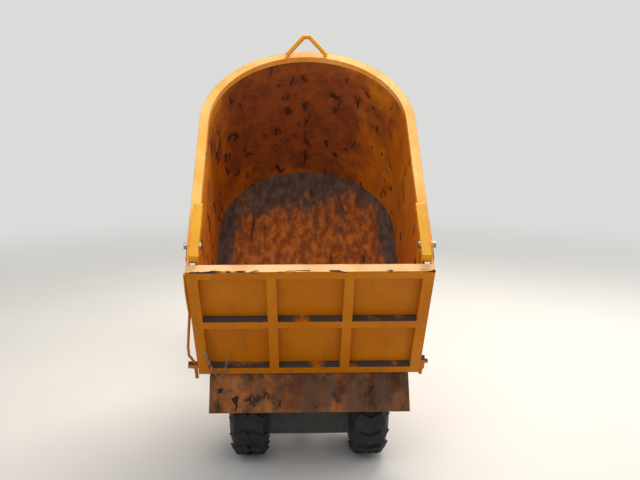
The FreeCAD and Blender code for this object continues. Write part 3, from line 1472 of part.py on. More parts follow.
def build_rim():
    """Wheel rim with a dished disc and the hub tube that turns on the stub."""
    seat = at.bead_radius - at.seat_gap
    inner = seat - at.rim_plate
    side = at.bead_half + at.seat_gap
    flange = side + at.rim_plate
    face = at.disc_out
    back = face - at.rim_disc
    hub = at.stub_radius + at.rim_hub
    bore = at.stub_radius + at.running_fit
    points = [
        (-flange, at.flange_radius), (-side, at.flange_radius), (-side, seat), (side, seat),
        (side, at.flange_radius), (flange, at.flange_radius), (flange, inner),
        (face, inner), (face, hub), (face + at.rim_hub_past, hub), (face + at.rim_hub_past, bore),
        (face - at.rim_hub_deep, bore), (face - at.rim_hub_deep, hub), (back, hub),
        (back, inner), (-flange, inner),
    ]
    return turned(points)


def build_tyre():
    """Tyre with two rows of slanted lugs, the lugs' ends sloping at the shoulders."""
    crown = at.tyre_radius - at.tread_depth
    half, lip = at.tyre_width / 2, at.flange_radius + at.seat_gap * 3
    side = [
        (at.bead_half, at.bead_radius), (at.bead_half, lip), (at.bead_half + at.bead_edge, lip),
        (half, lip + at.sidewall_low), (half, crown - at.sidewall_high), (half - at.shoulder_in, crown),
    ]
    body = turned(side + [(-x, radius) for x, radius in reversed(side)])
    turn, width = at.lug_turn, at.lug_width
    top, inner = at.tyre_radius, at.crown_gap / 2
    outer = (half - width * sin(turn) / 2) / cos(turn)
    shift = (inner + outer) / 2 * sin(turn)
    features = []
    for way in (-1, 1):
        points = [
            (way * inner, crown - at.lug_root), (way * outer, crown - at.lug_root),
            (way * outer, top - at.lug_edge), (way * (outer - at.lug_slope), top), (way * inner, top)]
        sketch = outline(body, "XZ_Plane", points)
        angle = turn * way
        turned_about = FreeCAD.Rotation(FreeCAD.Vector(0, 1, 0), angle.value)
        sketch.AttachmentOffset = FreeCAD.Placement(FreeCAD.Vector(0, 0, 0), turned_about)
        tie(sketch, "AttachmentOffset.Rotation.Angle", angle)
        tie(sketch, "AttachmentOffset.Base.x", -width / 2 * sin(angle))
        tie(sketch, "AttachmentOffset.Base.z", shift - width / 2 * cos(angle))
        pad = body.newObject("PartDesign::Pad", "lug")
        pad.Profile = sketch
        tie(pad, "Length", width)
        features.append(pad)
    doc.recompute()
    pattern = body.newObject("PartDesign::PolarPattern", "ring")
    pattern.Originals = features
    pattern.Axis = (origin_of(body, "X_Axis"), [""])
    pattern.Angle = 360
    tie(pattern, "Occurrences", at.lug_count)
    body.Tip = pattern
    return body


def place_wheel(thing, x_side, y):
    """Put a wheel piece on its stub, disc outwards."""
    turn = FreeCAD.Rotation(FreeCAD.Vector(0, 0, 1), 0 if x_side > 0 else 180)
    return put(thing, (x_side * wheel_middle, y, hub_height), turn)


def build_all():
    """Make every sub-part."""
    keep("skip_shell", build_skip_shell())
    keep("skip_rim", build_skip_rim())
    keep("skip_lip", build_skip_lip())
    keep("skip_bearers", build_bearers())
    keep("skip_crossbars", build_cross_bars())
    keep("skip_handle", build_handle())
    keep("hinge_bars", build_hinge_bars())
    keep("hinge_bolts", build_hinge_bolts())
    keep("gate_panel", build_gate_panel())
    keep("gate_frame", build_gate_frame())
    keep("gate_ears", build_gate_ears())
    keep("gate_lock", build_gate_lock())
    keep("front_chassis", build_front_chassis())
    keep("pivot_pins", build_pins())
    keep("front_axle", build_axle_with_pads(front_axle_y, at.front_rail_in))
    keep("skip_stops", build_stops())
    keep("steer_block", build_steer_block())
    keep("steer_barrel_tube", build_steer_barrel())
    keep("steer_piston_rod", build_steer_rod())
    keep("ram_barrel_tube", build_ram_barrel())
    keep("ram_piston_rod", build_ram_rod())
    keep("rear_chassis", build_rear_chassis())
    keep("rear_axle", build_axle_with_pads(rear_axle_y, at.rear_rail_in))
    keep("steps", build_steps())
    keep("deck", build_deck())
    keep("console", build_console())
    keep("steering_wheel_ring", build_steering_wheel())
    keep("controls", gather(build_levers() + build_pedals()))
    keep("engine", build_engine())
    keep("engine_cover", build_housing())
    keep("bonnet_shell", build_bonnet())
    keep("bonnet_hinges", build_bonnet_hinges())
    keep("seat_pan", build_seat_pan())
    keep("seat_cushion", build_seat_cushion())
    keep("seat_back", build_seat_back())
    keep("tail_weight", build_tail())
    keep("tow_hitch", build_hitch())
    keep("tanks", gather([build_tank(-1), build_tank(1)]))
    keep("exhaust", build_exhaust())
    for name, x_side, y in WHEELS:
        keep("rim_" + name, place_wheel(build_rim(), x_side, y))
        keep("tyre_" + name, place_wheel(build_tyre(), x_side, y))


# Wheels: name, side in X, axle's place in Y
WHEELS = (
    ("front_left", -1, front_axle_y),
    ("front_right", 1, front_axle_y),
    ("rear_left", -1, rear_axle_y),
    ("rear_right", 1, rear_axle_y),
)


def check_all():
    """Stop if any object failed or any sub-part has no valid shape."""
    for item in doc.Objects:
        if "Invalid" in item.State or "Error" in item.State:
            raise RuntimeError("%s (%s) failed: %s" % (item.Name, item.Label, item.State))
    for node, thing in PARTS.items():
        if thing.Shape.isNull() or not thing.Shape.isValid():
            raise RuntimeError("%s has no valid shape" % node)


build_all()
doc.recompute()
check_all()
os.makedirs("parts", exist_ok=True)
for node, thing in PARTS.items():
    thing.Shape.exportStep("parts/%s.step" % node)
    print("%-20s solids %d  faces %d" % (node, len(thing.Shape.Solids), len(thing.Shape.Faces)))
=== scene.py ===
"""Looks, studio and camera for the site dumper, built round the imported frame."""
import logging
import math
from dataclasses import dataclass
from enum import Enum
from typing import Sequence

import bmesh
import bpy
import numpy as np
from mathutils import Euler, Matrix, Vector


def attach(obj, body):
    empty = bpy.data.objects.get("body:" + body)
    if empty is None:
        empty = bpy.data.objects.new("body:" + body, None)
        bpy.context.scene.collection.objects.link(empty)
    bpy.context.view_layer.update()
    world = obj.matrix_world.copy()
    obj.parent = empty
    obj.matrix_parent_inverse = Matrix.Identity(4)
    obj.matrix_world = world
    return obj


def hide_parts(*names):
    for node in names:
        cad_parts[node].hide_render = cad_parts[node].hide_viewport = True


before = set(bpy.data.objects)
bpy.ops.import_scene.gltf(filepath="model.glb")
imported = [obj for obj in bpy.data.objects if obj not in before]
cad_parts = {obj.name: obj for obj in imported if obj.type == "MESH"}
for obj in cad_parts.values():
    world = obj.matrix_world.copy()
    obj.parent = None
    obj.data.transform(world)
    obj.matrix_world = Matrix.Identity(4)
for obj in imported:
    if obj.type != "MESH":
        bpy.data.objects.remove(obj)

LOG = logging.getLogger("site_dumper")
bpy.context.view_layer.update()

Socket = bpy.types.NodeSocket
Tree = bpy.types.NodeTree
Place = tuple[float, float, float]

# Radius in metres of a ring that stands for a pole, and the reach that makes its points one
POLE = 1e-5
POLE_WELD = 2.5e-5


def hex_linear(code: str) -> tuple[float, float, float, float]:
    """Turn an sRGB hex colour into linear RGBA.

    Args:
        code: Colour as "#RRGGBB".

    Returns:
        Linear red, green, blue and an alpha of 1.
    """
    raw = np.array([int(code[i:i + 2], 16) for i in (1, 3, 5)]) / 255.0
    low, high = raw / 12.92, ((raw + 0.055) / 1.055) ** 2.4
    return (*np.where(raw <= 0.04045, low, high).tolist(), 1.0)


def per_mm(size: float) -> float:
    """Texture scale that gives features of a size in millimetres."""
    return 1000.0 / size


def add(tree: Tree, kind: str, inputs: dict | None = None, **settings: object) -> bpy.types.Node:
    """Add a node, set its properties and fill or link its inputs.

    Args:
        tree: Node tree that takes the node.
        kind: Node type without the "ShaderNode" in front.
        inputs: Input name or number to a value or a socket to link.
        settings: Properties of the node by name.

    Returns:
        The new node.
    """
    node = tree.nodes.new("ShaderNode" + kind)
    for name, value in settings.items():
        setattr(node, name, value)
    for name, value in (inputs or {}).items():
        if isinstance(value, Socket):
            tree.links.new(value, node.inputs[name])
        else:
            node.inputs[name].default_value = value
    return node


class Zone(Enum):
    """Where on the machine a finish is used, which sets how its wear lies."""

    SKIP = "skip"
    RIM = "rim"
    GATE = "gate"
    LIP = "lip"
    BODY = "body"


@dataclass(frozen=True)
class SkipPlace:
    """Where the tipped skip stands, and the places on it where wear starts or ends."""

    foot: Place = (0.0, -0.9535, 0.4786)
    tilt: float = math.radians(36.0)
    gate_tilt: float = math.radians(34.0)
    round_start: float = 0.90
    scour_reach: float = 1.32
    scour_half: float = 0.45
    rail_level: float = 0.6
    rail_front: float = 0.009
    rail_crown: float = 0.6610

    def frame_of(self, tree: Tree, vector: Socket, point: bool, gate: bool = False) -> Socket:
        """Turn a point or a direction into the skip's own frame.

        Args:
            tree: Node tree of the material.
            vector: Object position or object normal.
            point: True for a position, False for a direction.
            gate: True for the gate's frame, False for the floor's.

        Returns:
            Socket with the vector in the skip's frame.
        """
        where = self.foot if point else (0.0, 0.0, 0.0)
        tilt = self.gate_tilt if gate else self.tilt
        node = add(tree, "Mapping", {"Vector": vector, "Location": where, "Rotation": (tilt, 0, 0)},
                   vector_type="TEXTURE")
        return node.outputs[0]


@dataclass(frozen=True)
class WornPaint:
    """Brushed-on enamel over steel, sun-faded, chipped to rust and scratched.

    The enamel gives the eye a soft gloss; where it is gone, matt brown rust or dark steel shows.
    """

    name: str
    zone: Zone
    paint: str = "#D8841C"
    faded: str = "#E79E43"
    rust: str = "#7A4424"
    deep: str = "#35201A"
    bloom: str = "#B5662A"
    grime: str = "#6B5138"
    rust_amount: float = 0.0
    chip_mm: float = 16.0
    chip_amount: float = 0.35
    edge_mm: float = 2.5
    edge_amount: float = 0.7
    roughness: float = 0.46
    shine: float = 0.28
    fade_mm: float = 260.0
    run_mm: float = 38.0
    mottle_mm: float = 70.0
    fine_mm: float = 9.0
    peel_mm: float = 5.0
    bump_depth: float = 0.0012
    cloud_middle: Place = (-0.04, 1.38, 0.42)

    def build(self) -> bpy.types.Material:
        """Make the material's nodes and give the material."""
        material = bpy.data.materials.new(self.name)
        material.use_nodes = True
        tree = material.node_tree
        tree.nodes.clear()
        place = SkipPlace()
        coord = add(tree, "TexCoord")
        point, normal = coord.outputs["Object"], coord.outputs["Normal"]
        skip_point = place.frame_of(tree, point, True)
        skip_normal = place.frame_of(tree, normal, False)

        # Enamel: fades in patches a hand or two wide, with a fine orange peel
        patch = noise(tree, skip_point, self.fade_mm, detail=3.0)
        fade = ramp(tree, patch, 0.38, 0.66)
        colour = blend(tree, fade, hex_linear(self.paint), hex_linear(self.faded))
        runs = noise(tree, stretched(tree, skip_point, (1.0, 0.35, 0.2)), self.run_mm, detail=4.0)
        streak = scaled(tree, ramp(tree, runs, 0.52, 0.80), 0.30)
        colour = blend(tree, streak, colour, hex_linear(self.grime))
        rough = scaled(tree, patch, 0.16, self.roughness - 0.08)

        rusty = self.rust_mask(tree, skip_point, skip_normal)
        # Rust: two browns mottled at a hand's width, with ochre bloom between them
        mottle = noise(tree, skip_point, self.mottle_mm, detail=9.0, roughness=0.68)
        fine = noise(tree, skip_point, self.fine_mm, detail=5.0, roughness=0.7)
        brown = blend(tree, ramp(tree, mottle, 0.36, 0.62), hex_linear(self.rust), hex_linear(self.deep))
        ochre = scaled(tree, ramp(tree, fine, 0.50, 0.75), 0.45)
        brown = blend(tree, ochre, brown, hex_linear(self.bloom))
        colour = blend(tree, rusty, colour, brown)

        # Chips: short scraped strokes down to dark steel
        chips = self.chip_mask(tree, skip_point)
        if self.zone is Zone.SKIP:
            inside = self.inside_mask(tree, skip_point, skip_normal)
            chips = calc(tree, "MULTIPLY", chips, scaled(tree, inside, 0.9, 0.1))
        chip_tone = blend(tree, fine, hex_linear(self.deep), hex_linear("#1D1512"))
        colour = blend(tree, chips, colour, chip_tone)
        wear = self.edge_mask(tree, mottle)
        edge_tone = blend(tree, ramp(tree, fine, 0.4, 0.6), hex_linear(self.rust), hex_linear(self.deep))
        colour = blend(tree, wear, colour, edge_tone)
        bare = calc(tree, "MAXIMUM", chips, wear)
        dull = calc(tree, "MAXIMUM", bare, rusty)
        rough = mixed(tree, dull, rough, 0.86)
        # Grime, and on the gate a painted highlight on top of the top rail
        colour, rough = self.grime_and_painted_highlight(tree, colour, rough, point, skip_point, normal)

        # Relief: rust stands up, chips lie lower, orange peel over all
        height = calc(tree, "ADD", scaled(tree, fine, 0.5), mottle)
        height = calc(tree, "MULTIPLY", height, dull)
        height = calc(tree, "SUBTRACT", height, bare)
        peel = noise(tree, point, self.peel_mm, detail=1.0)
        height = calc(tree, "MULTIPLY_ADD", peel, 0.10, height)
        bump = add(tree, "Bump", {"Strength": 0.55, "Distance": self.bump_depth, "Height": height})
        shader(tree, colour, rough, bump.outputs[0], {"IOR": 1.5, "Specular IOR Level": self.shine})
        return material

    def rust_mask(self, tree: Tree, point: Socket, normal: Socket) -> Socket:
        """Where rust has taken the sheet, from 0 to 1.

        Inside the skip it is a cloud on the round back, up to a hand below the edge; elsewhere it follows
        noise alone.
        """
        cloud = noise(tree, point, 230.0, detail=8.0, roughness=0.66)
        if self.zone is not Zone.SKIP:
            low, high = 0.66 - 0.5 * self.rust_amount, 0.80 - 0.4 * self.rust_amount
            return scaled(tree, ramp(tree, cloud, low, high), 0.95)
        inside = self.inside_mask(tree, point, normal)
        far = add(tree, "VectorMath", {0: point, 1: self.cloud_middle}, operation="SUBTRACT").outputs[0]
        far = add(tree, "Mapping", {"Vector": far, "Scale": (1.9, 0.8, 1.75)}).outputs[0]
        reach = add(tree, "VectorMath", {0: far}, operation="LENGTH").outputs["Value"]
        reach = scaled(tree, reach, -0.66, 0.76)
        reach = calc(tree, "MULTIPLY_ADD", cloud, 1.25, reach)
        wall = calc(tree, "MULTIPLY", ramp(tree, reach, 0.62, 1.02), inside)
        return scaled(tree, wall, 0.92)

    def inside_mask(self, tree: Tree, point: Socket, normal: Socket) -> Socket:
        """1 on the skip's inner faces: there the normal looks at the U's middle line."""
        x, s = (add(tree, "SeparateXYZ", {0: point}).outputs[i] for i in range(2))
        nx, ns = (add(tree, "SeparateXYZ", {0: normal}).outputs[i] for i in range(2))
        back = calc(tree, "MAXIMUM", calc(tree, "SUBTRACT", s, SkipPlace().round_start), 0.0)
        side = calc(tree, "MULTIPLY", x, nx)
        return calc(tree, "LESS_THAN", calc(tree, "MULTIPLY_ADD", back, ns, side), -0.01)

    def chip_mask(self, tree: Tree, point: Socket) -> Socket:
        """Short strokes where the paint is scraped off, from 0 to 1.

        A stroke is where a slow noise crosses its middle value, kept only in the small spots that a second
        noise picks.
        """
        drawn = stretched(tree, point, (1.0, 0.8, 0.42))
        wave = noise(tree, drawn, 5.0 * self.chip_mm, detail=3.0, roughness=0.45)
        away = calc(tree, "ABSOLUTE", scaled(tree, wave, 1.0, -0.5), 0.0)
        width = 0.020 * self.chip_amount
        line = ramp(tree, scaled(tree, away, -1.0, width), 0.0, 0.006)
        spots = noise(tree, point, 2.6 * self.chip_mm, detail=1.0)
        level = 0.70 - 0.12 * self.chip_amount
        return calc(tree, "MULTIPLY", line, ramp(tree, spots, level, level + 0.04))

    def edge_mask(self, tree: Tree, break_up: Socket) -> Socket:
        """Wear along edges: where a rounded normal leaves the true one, broken up by noise."""
        soft = add(tree, "Bevel", {"Radius": self.edge_mm / 1000.0}, samples=6).outputs[0]
        true = add(tree, "NewGeometry").outputs["Normal"]
        dot = add(tree, "VectorMath", {0: soft, 1: true}, operation="DOT_PRODUCT").outputs["Value"]
        sharp = ramp(tree, calc(tree, "SUBTRACT", 1.0, dot), 0.02, 0.10)
        broken = ramp(tree, break_up, 0.60 - 0.28 * self.edge_amount, 0.70 - 0.28 * self.edge_amount)
        return calc(tree, "MULTIPLY", sharp, broken)

    def floor_colour(self, tree: Tree, point: Socket) -> Socket:
        """Skip floor: grey dirt, orange rust scoured bare lengthways up its middle, and dark runs on it."""
        x, s = (add(tree, "SeparateXYZ", {0: point}).outputs[i] for i in range(2))
        long = noise(tree, stretched(tree, point, (1.0, 0.30, 1.0)), 75.0, detail=8.0, roughness=0.68)
        grain = noise(tree, stretched(tree, point, (1.0, 0.5, 1.0)), 34.0, detail=7.0, roughness=0.62)
        dirt = blend(tree, ramp(tree, grain, 0.35, 0.7), hex_linear("#4B3B33"), hex_linear("#6A564A"))
        bare = blend(tree, ramp(tree, grain, 0.40, 0.66), hex_linear("#84481F"), hex_linear("#C46E26"))
        # Scoured where the load slides out: towards the gate and near the middle line
        place = SkipPlace()
        near = ramp(tree, scaled(tree, s, -1.0, place.scour_reach), 0.0, 0.55)
        away = calc(tree, "ABSOLUTE", x, 0.0)
        middle = ramp(tree, scaled(tree, away, -1.0, place.scour_half), 0.0, 0.16)
        worn = calc(tree, "MULTIPLY", near, middle)
        worn = calc(tree, "MULTIPLY_ADD", worn, 0.32, long)
        colour = blend(tree, ramp(tree, worn, 0.54, 0.72), dirt, bare)
        runs = noise(tree, stretched(tree, point, (1.0, 0.16, 1.0)), 34.0, detail=5.0, roughness=0.6)
        return blend(tree, scaled(tree, ramp(tree, runs, 0.60, 0.70), 0.75), colour, hex_linear("#2A1C17"))

    def grime_and_painted_highlight(self, tree: Tree, colour: Socket, rough: Socket, point: Socket, skip_point: Socket,
               normal: Socket) -> tuple[Socket, Socket]:
        """Lay grime where this zone collects it: on ledges, on the floor or low down. On the gate, also paint
        a highlight on top of the top rail.

        Args:
            tree: Node tree of the material.
            colour: Colour so far.
            rough: Roughness so far.
            point: Object position.
            skip_point: Position in the skip's frame.
            normal: Object normal.

        Returns:
            Colour with the grime and, on the gate, the painted highlight; roughness with the grime.
        """
        place = SkipPlace()
        cloud = noise(tree, point, 120.0, detail=5.0, roughness=0.6)
        if self.zone is Zone.GATE:
            up = add(tree, "SeparateXYZ", {0: place.frame_of(tree, normal, False, gate=True)}).outputs[2]
            spot = add(tree, "SeparateXYZ", {0: place.frame_of(tree, point, True, gate=True)})
            depth, height = spot.outputs[1], spot.outputs[2]
            # Grey dirt on the ledges below the top rail
            ledge = ramp(tree, up, 0.6, 0.8)
            low = calc(tree, "LESS_THAN", height, place.rail_level)
            mask = calc(tree, "MULTIPLY", ledge, low)
            mask = calc(tree, "MULTIPLY", mask, ramp(tree, cloud, 0.30, 0.48))
            tone = hex_linear("#4B433D")
            # Painted highlight on top of the top rail: a pale tone over the upward faces, broken up by noise
            pale = calc(tree, "MULTIPLY", ledge, calc(tree, "SUBTRACT", 1.0, low))
            pale = calc(tree, "MULTIPLY", pale, scaled(tree, ramp(tree, cloud, 0.3, 0.6), 0.35, 0.45))
            colour = blend(tree, pale, colour, hex_linear("#F6CB94"))
            # Long black chips along the front edge of the top rail
            edge = calc(tree, "MULTIPLY", calc(tree, "LESS_THAN", depth, place.rail_front),
                        calc(tree, "GREATER_THAN", height, place.rail_crown))
            long = noise(tree, stretched(tree, point, (0.25, 1.0, 1.0)), 22.0, detail=4.0, roughness=0.6)
            chips = calc(tree, "MULTIPLY", edge, ramp(tree, long, 0.52, 0.55))
            colour = blend(tree, chips, colour, hex_linear("#241A17"))
        elif self.zone is Zone.SKIP:
            up = add(tree, "SeparateXYZ", {0: place.frame_of(tree, normal, False)}).outputs[2]
            mask, tone = ramp(tree, up, 0.6, 0.8), self.floor_colour(tree, skip_point)
        elif self.zone is Zone.LIP:
            streak = noise(tree, stretched(tree, skip_point, (1.0, 0.2, 0.2)), 60.0, detail=5.0)
            mask = scaled(tree, ramp(tree, streak, 0.42, 0.60), 0.7)
            tone = hex_linear("#5F4A3C")
        else:
            up = add(tree, "SeparateXYZ", {0: normal}).outputs[2]
            mask = calc(tree, "MULTIPLY", ramp(tree, up, 0.5, 1.0), ramp(tree, cloud, 0.40, 0.70))
            mask = scaled(tree, mask, 0.30)
            tone = hex_linear("#8A7350")
        return blend(tree, mask, colour, tone), mixed(tree, mask, rough, 0.92)


@dataclass(frozen=True)
class PlainFinish:
    """One material of an even kind, with mottling, dust on top faces and a fine bump.

    The mottling breaks the colour a little, as casting skin, greasy steel or moulded plastic does.
    """

    name: str
    colour: str
    second: str
    roughness: float = 0.5
    metallic: float = 0.0
    mottle_mm: float = 40.0
    grain_mm: float = 2.0
    bump_mm: float = 0.15
    dust: float = 0.25
    dust_colour: str = "#8C7F6B"
    sheen: float = 0.0

    def build(self) -> bpy.types.Material:
        """Make the material's nodes and give the material."""
        material = bpy.data.materials.new(self.name)
        material.use_nodes = True
        tree = material.node_tree
        tree.nodes.clear()
        coord = add(tree, "TexCoord")
        point, normal = coord.outputs["Object"], coord.outputs["Normal"]
        mottle = noise(tree, point, self.mottle_mm, detail=6.0, roughness=0.6)
        grain = noise(tree, point, self.grain_mm, detail=2.0)
        colour = blend(tree, ramp(tree, mottle, 0.35, 0.65), hex_linear(self.colour), hex_linear(self.second))
        up = add(tree, "SeparateXYZ", {0: normal}).outputs[2]
        top = calc(tree, "MULTIPLY", ramp(tree, up, 0.2, 1.0), ramp(tree, mottle, 0.3, 0.6))
        mask = scaled(tree, top, self.dust)
        colour = blend(tree, mask, colour, hex_linear(self.dust_colour))
        rough = scaled(tree, mottle, 0.16, self.roughness - 0.08)
        rough = mixed(tree, mask, rough, 0.9)
        bump = add(tree, "Bump", {"Strength": 0.5, "Distance": self.bump_mm / 1000.0, "Height": grain})
        constants = {"Metallic": self.metallic}
        if self.sheen:
            constants["Sheen Weight"] = self.sheen
        shader(tree, colour, rough, bump.outputs[0], constants)
        return material


@dataclass(frozen=True)
class TyreRubber:
    """Vulcanised rubber, near black and darkened further as painted shade, with brown dust that thins out
    towards the lugs' tips.
    """

    name: str = "vulcanised rubber with painted shade"
    hub: Place = (0.0, 0.0, 0.0)
    crown: float = 0.253
    tip: float = 0.268
    ring_pitch: float = 0.009
    wall_top: float = 0.225

    def build(self) -> bpy.types.Material:
        """Make the material's nodes and give the material."""
        material = bpy.data.materials.new(self.name)
        material.use_nodes = True
        tree = material.node_tree
        tree.nodes.clear()
        point = add(tree, "TexCoord").outputs["Object"]
        centred = add(tree, "VectorMath", {0: point, 1: self.hub}, operation="SUBTRACT").outputs[0]
        flat = add(tree, "VectorMath", {0: centred, 1: (0.0, 1.0, 1.0)}, operation="MULTIPLY").outputs[0]
        radius = add(tree, "VectorMath", {0: flat}, operation="LENGTH").outputs["Value"]
        cloud = noise(tree, point, 60.0, detail=6.0, roughness=0.65)
        grain = noise(tree, point, 3.0, detail=3.0)
        groove = add(tree, "MapRange", {"Value": radius, "From Min": self.crown + 0.002,
                                        "From Max": self.tip - 0.002, "To Min": 1.0,
                                        "To Max": 0.12}).outputs[0]
        dusty = calc(tree, "MULTIPLY", groove, ramp(tree, cloud, 0.30, 0.72))
        # Base: rubber's own black, darkened further as painted shade
        colour = blend(tree, grain, hex_linear("#0D0D0E"), hex_linear("#171615"))
        colour = blend(tree, scaled(tree, dusty, 0.5), colour, hex_linear("#3B362F"))
        # Rings moulded into the sidewall, a sine of the radius
        rings = calc(tree, "MULTIPLY", radius, 2.0 * math.pi / self.ring_pitch)
        rings = calc(tree, "SINE", rings, 0.0)
        wall = calc(tree, "LESS_THAN", radius, self.wall_top)
        rings = calc(tree, "MULTIPLY", rings, wall)
        height = calc(tree, "MULTIPLY_ADD", rings, 0.35, grain)
        bump = add(tree, "Bump", {"Strength": 0.6, "Distance": 0.0008, "Height": height})
        shader(tree, colour, scaled(tree, cloud, 0.2, 0.68), bump.outputs[0], {"IOR": 1.52})
        return material


def noise(tree: Tree, vector: Socket, size_mm: float, detail: float = 2.0, roughness: float = 0.5) -> Socket:
    """Noise whose largest features are about size_mm across."""
    node = add(tree, "TexNoise", {"Vector": vector, "Scale": per_mm(size_mm), "Detail": detail,
                                  "Roughness": roughness})
    return node.outputs[0]


def stretched(tree: Tree, vector: Socket, scale: Sequence[float]) -> Socket:
    """Position with its axes scaled, so a pattern comes out drawn along one of them."""
    return add(tree, "Mapping", {"Vector": vector, "Scale": tuple(scale)}).outputs[0]


def calc(tree: Tree, operation: str, first: object, second: object, third: object = 0.0) -> Socket:
    """One step of arithmetic on sockets or numbers."""
    return add(tree, "Math", {0: first, 1: second, 2: third}, operation=operation).outputs[0]


def ramp(tree: Tree, value: Socket, low: float, high: float) -> Socket:
    """Smooth step from 0 at low to 1 at high."""
    node = add(tree, "MapRange", {"Value": value, "From Min": low, "From Max": high},
               interpolation_type="SMOOTHSTEP")
    return node.outputs[0]


def scaled(tree: Tree, value: Socket, factor: float, offset: float = 0.0) -> Socket:
    """Value times factor plus offset."""
    return calc(tree, "MULTIPLY_ADD", value, factor, offset)


def blend(tree: Tree, mask: Socket, low: object, high: object) -> Socket:
    """Mix two colours, each a socket or a linear colour, by a mask."""
    node = add(tree, "Mix", {0: mask, 6: low, 7: high}, data_type="RGBA")
    return node.outputs[2]


def mixed(tree: Tree, mask: Socket, low: object, high: object) -> Socket:
    """Mix two numbers, each a socket or a float, by a mask."""
    return add(tree, "Mix", {0: mask, 2: low, 3: high}, data_type="FLOAT").outputs[0]


def shader(tree: Tree, colour: Socket, rough: Socket, normal: Socket, constants: dict[str, float]) -> None:
    """End a tree in a Principled shader.

    Args:
        tree: Node tree of the material.
        colour: Base colour.
        rough: Roughness.
        normal: Bumped normal.
        constants: Shader sockets that are the same all over.
    """
    node = add(tree, "BsdfPrincipled", {"Base Color": colour, "Roughness": rough, "Normal": normal,
                                        **constants})
    add(tree, "OutputMaterial", {"Surface": node.outputs[0]})


class Finishes:
    """Every finish of the machine, built once and handed out by name."""

    def __init__(self) -> None:
        """Build the materials."""
        paints = (
            # Orange that pales in patches, with a rust cloud and scraped strokes inside
            WornPaint("enamel on skip sheet", Zone.SKIP, paint="#CF740A", faded="#DB8618", rust="#93481D",
                      deep="#66331C", chip_mm=27.0, chip_amount=1.2),
            # Palest orange, lightened as painted highlight on the lit edge bar, which draws the skip's
            # outline, broken by dark edge wear
            WornPaint("enamel on edge bar with painted highlight", Zone.RIM, paint="#F0A03A", faded="#F8B961",
                      rust_amount=-0.3, chip_mm=9.0, chip_amount=0.45, edge_mm=3.0, edge_amount=0.95),
            # Deeper orange, darkened as painted shade on the gate's face, with little gloss, which sets the
            # gate against the edge bar
            WornPaint("enamel on gate with painted shade", Zone.GATE, paint="#BF6C02", faded="#C8770A", rust_amount=-0.3,
                      shine=0.14, chip_mm=12.0, chip_amount=0.3, edge_amount=0.6),
            # Brown steel with remains of orange, streaked the way the load slides
            WornPaint("worn enamel on lip", Zone.LIP, paint="#A45E16", faded="#AE702C", rust="#66381F",
                      rust_amount=0.60, chip_mm=22.0, chip_amount=1.3),
            # Clean warm orange, the evenest of the paints
            WornPaint("enamel on body panels", Zone.BODY, paint="#D98309", faded="#E2951E",
                      rust_amount=-0.3, chip_mm=12.0, chip_amount=0.2, edge_amount=0.35),
            # Yellower orange that picks the bars out from the skip's side
            WornPaint("lemon enamel on hinge bars", Zone.BODY, paint="#DB9606", faded="#E0A51A",
                      chip_amount=0.3, edge_amount=0.6),
            # Dull yellow under dirt, with spots of rust
            WornPaint("enamel on wheel", Zone.BODY, paint="#C98212", faded="#CE9434", grime="#5A4A3A",
                      rust_amount=0.12, chip_amount=0.3),
            # Darker orange with dirt and rust, darkened further as painted shade for parts that stay in the
            # shade
            WornPaint("enamel on underside with painted shade", Zone.BODY, paint="#A7660F", faded="#B0782A", grime="#4E4034",
                      rust_amount=0.25, chip_amount=0.5),
        )
        plain = (
            # Dark and half matt, pale with dust on top faces
            PlainFinish("charcoal chassis enamel", "#2B2A29", "#3A3733", 0.55, dust=0.5, bump_mm=0.3),
            # Rough brown-grey skin without a clear highlight
            PlainFinish("grey cast iron", "#35322F", "#46413B", 0.62, grain_mm=3.0, bump_mm=0.5, dust=0.4),
            # Dark metal with a soft, smeared highlight
            PlainFinish("greasy steel", "#6E6A64", "#4A443E", 0.38, metallic=1.0, dust=0.15),
            # The one bright mirror on the machine
            PlainFinish("hard chrome", "#D9DADB", "#C9CBCC", 0.12, metallic=1.0, grain_mm=0.8,
                        bump_mm=0.01, dust=0.0),
            # Deep matt black
            PlainFinish("black rubber", "#1B1B1B", "#262524", 0.75, dust=0.3),
            # Black with a dull gloss and a fine grain
            PlainFinish("moulded black plastic", "#1A1A1B", "#222223", 0.45, grain_mm=1.2, bump_mm=0.1,
                        dust=0.15),
            # Mid grey with a coarse skin, stained brown
            PlainFinish("oily alloy casting", "#5B5B5A", "#3E3C3A", 0.5, metallic=0.7, grain_mm=4.0,
                        bump_mm=0.6),
            # Brown oxide with hardly any shine
            PlainFinish("heat-stained steel", "#5B4436", "#3C2E27", 0.7, metallic=0.5, grain_mm=4.0,
                        bump_mm=0.3, dust=0.1),
            # Black with a soft sheen and a pressed grain
            PlainFinish("black vinyl", "#1D1C1C", "#262423", 0.42, grain_mm=1.6, bump_mm=0.12, dust=0.2,
                        sheen=0.1),
            # Pale grey metal with small glints
            PlainFinish("zinc plated steel", "#A9A79F", "#8E8A80", 0.35, metallic=1.0, dust=0.1),
        )
        self.made = {finish.name: finish.build() for finish in paints + plain}

    def tyre(self, name: str, hub: Place) -> bpy.types.Material:
        """Rubber centred on one wheel's hub."""
        label = "vulcanised rubber with painted shade " + name
        if label not in self.made:
            self.made[label] = TyreRubber(label, hub).build()
        return self.made[label]

    def __getitem__(self, name: str) -> bpy.types.Material:
        """Finish of that name."""
        return self.made[name]


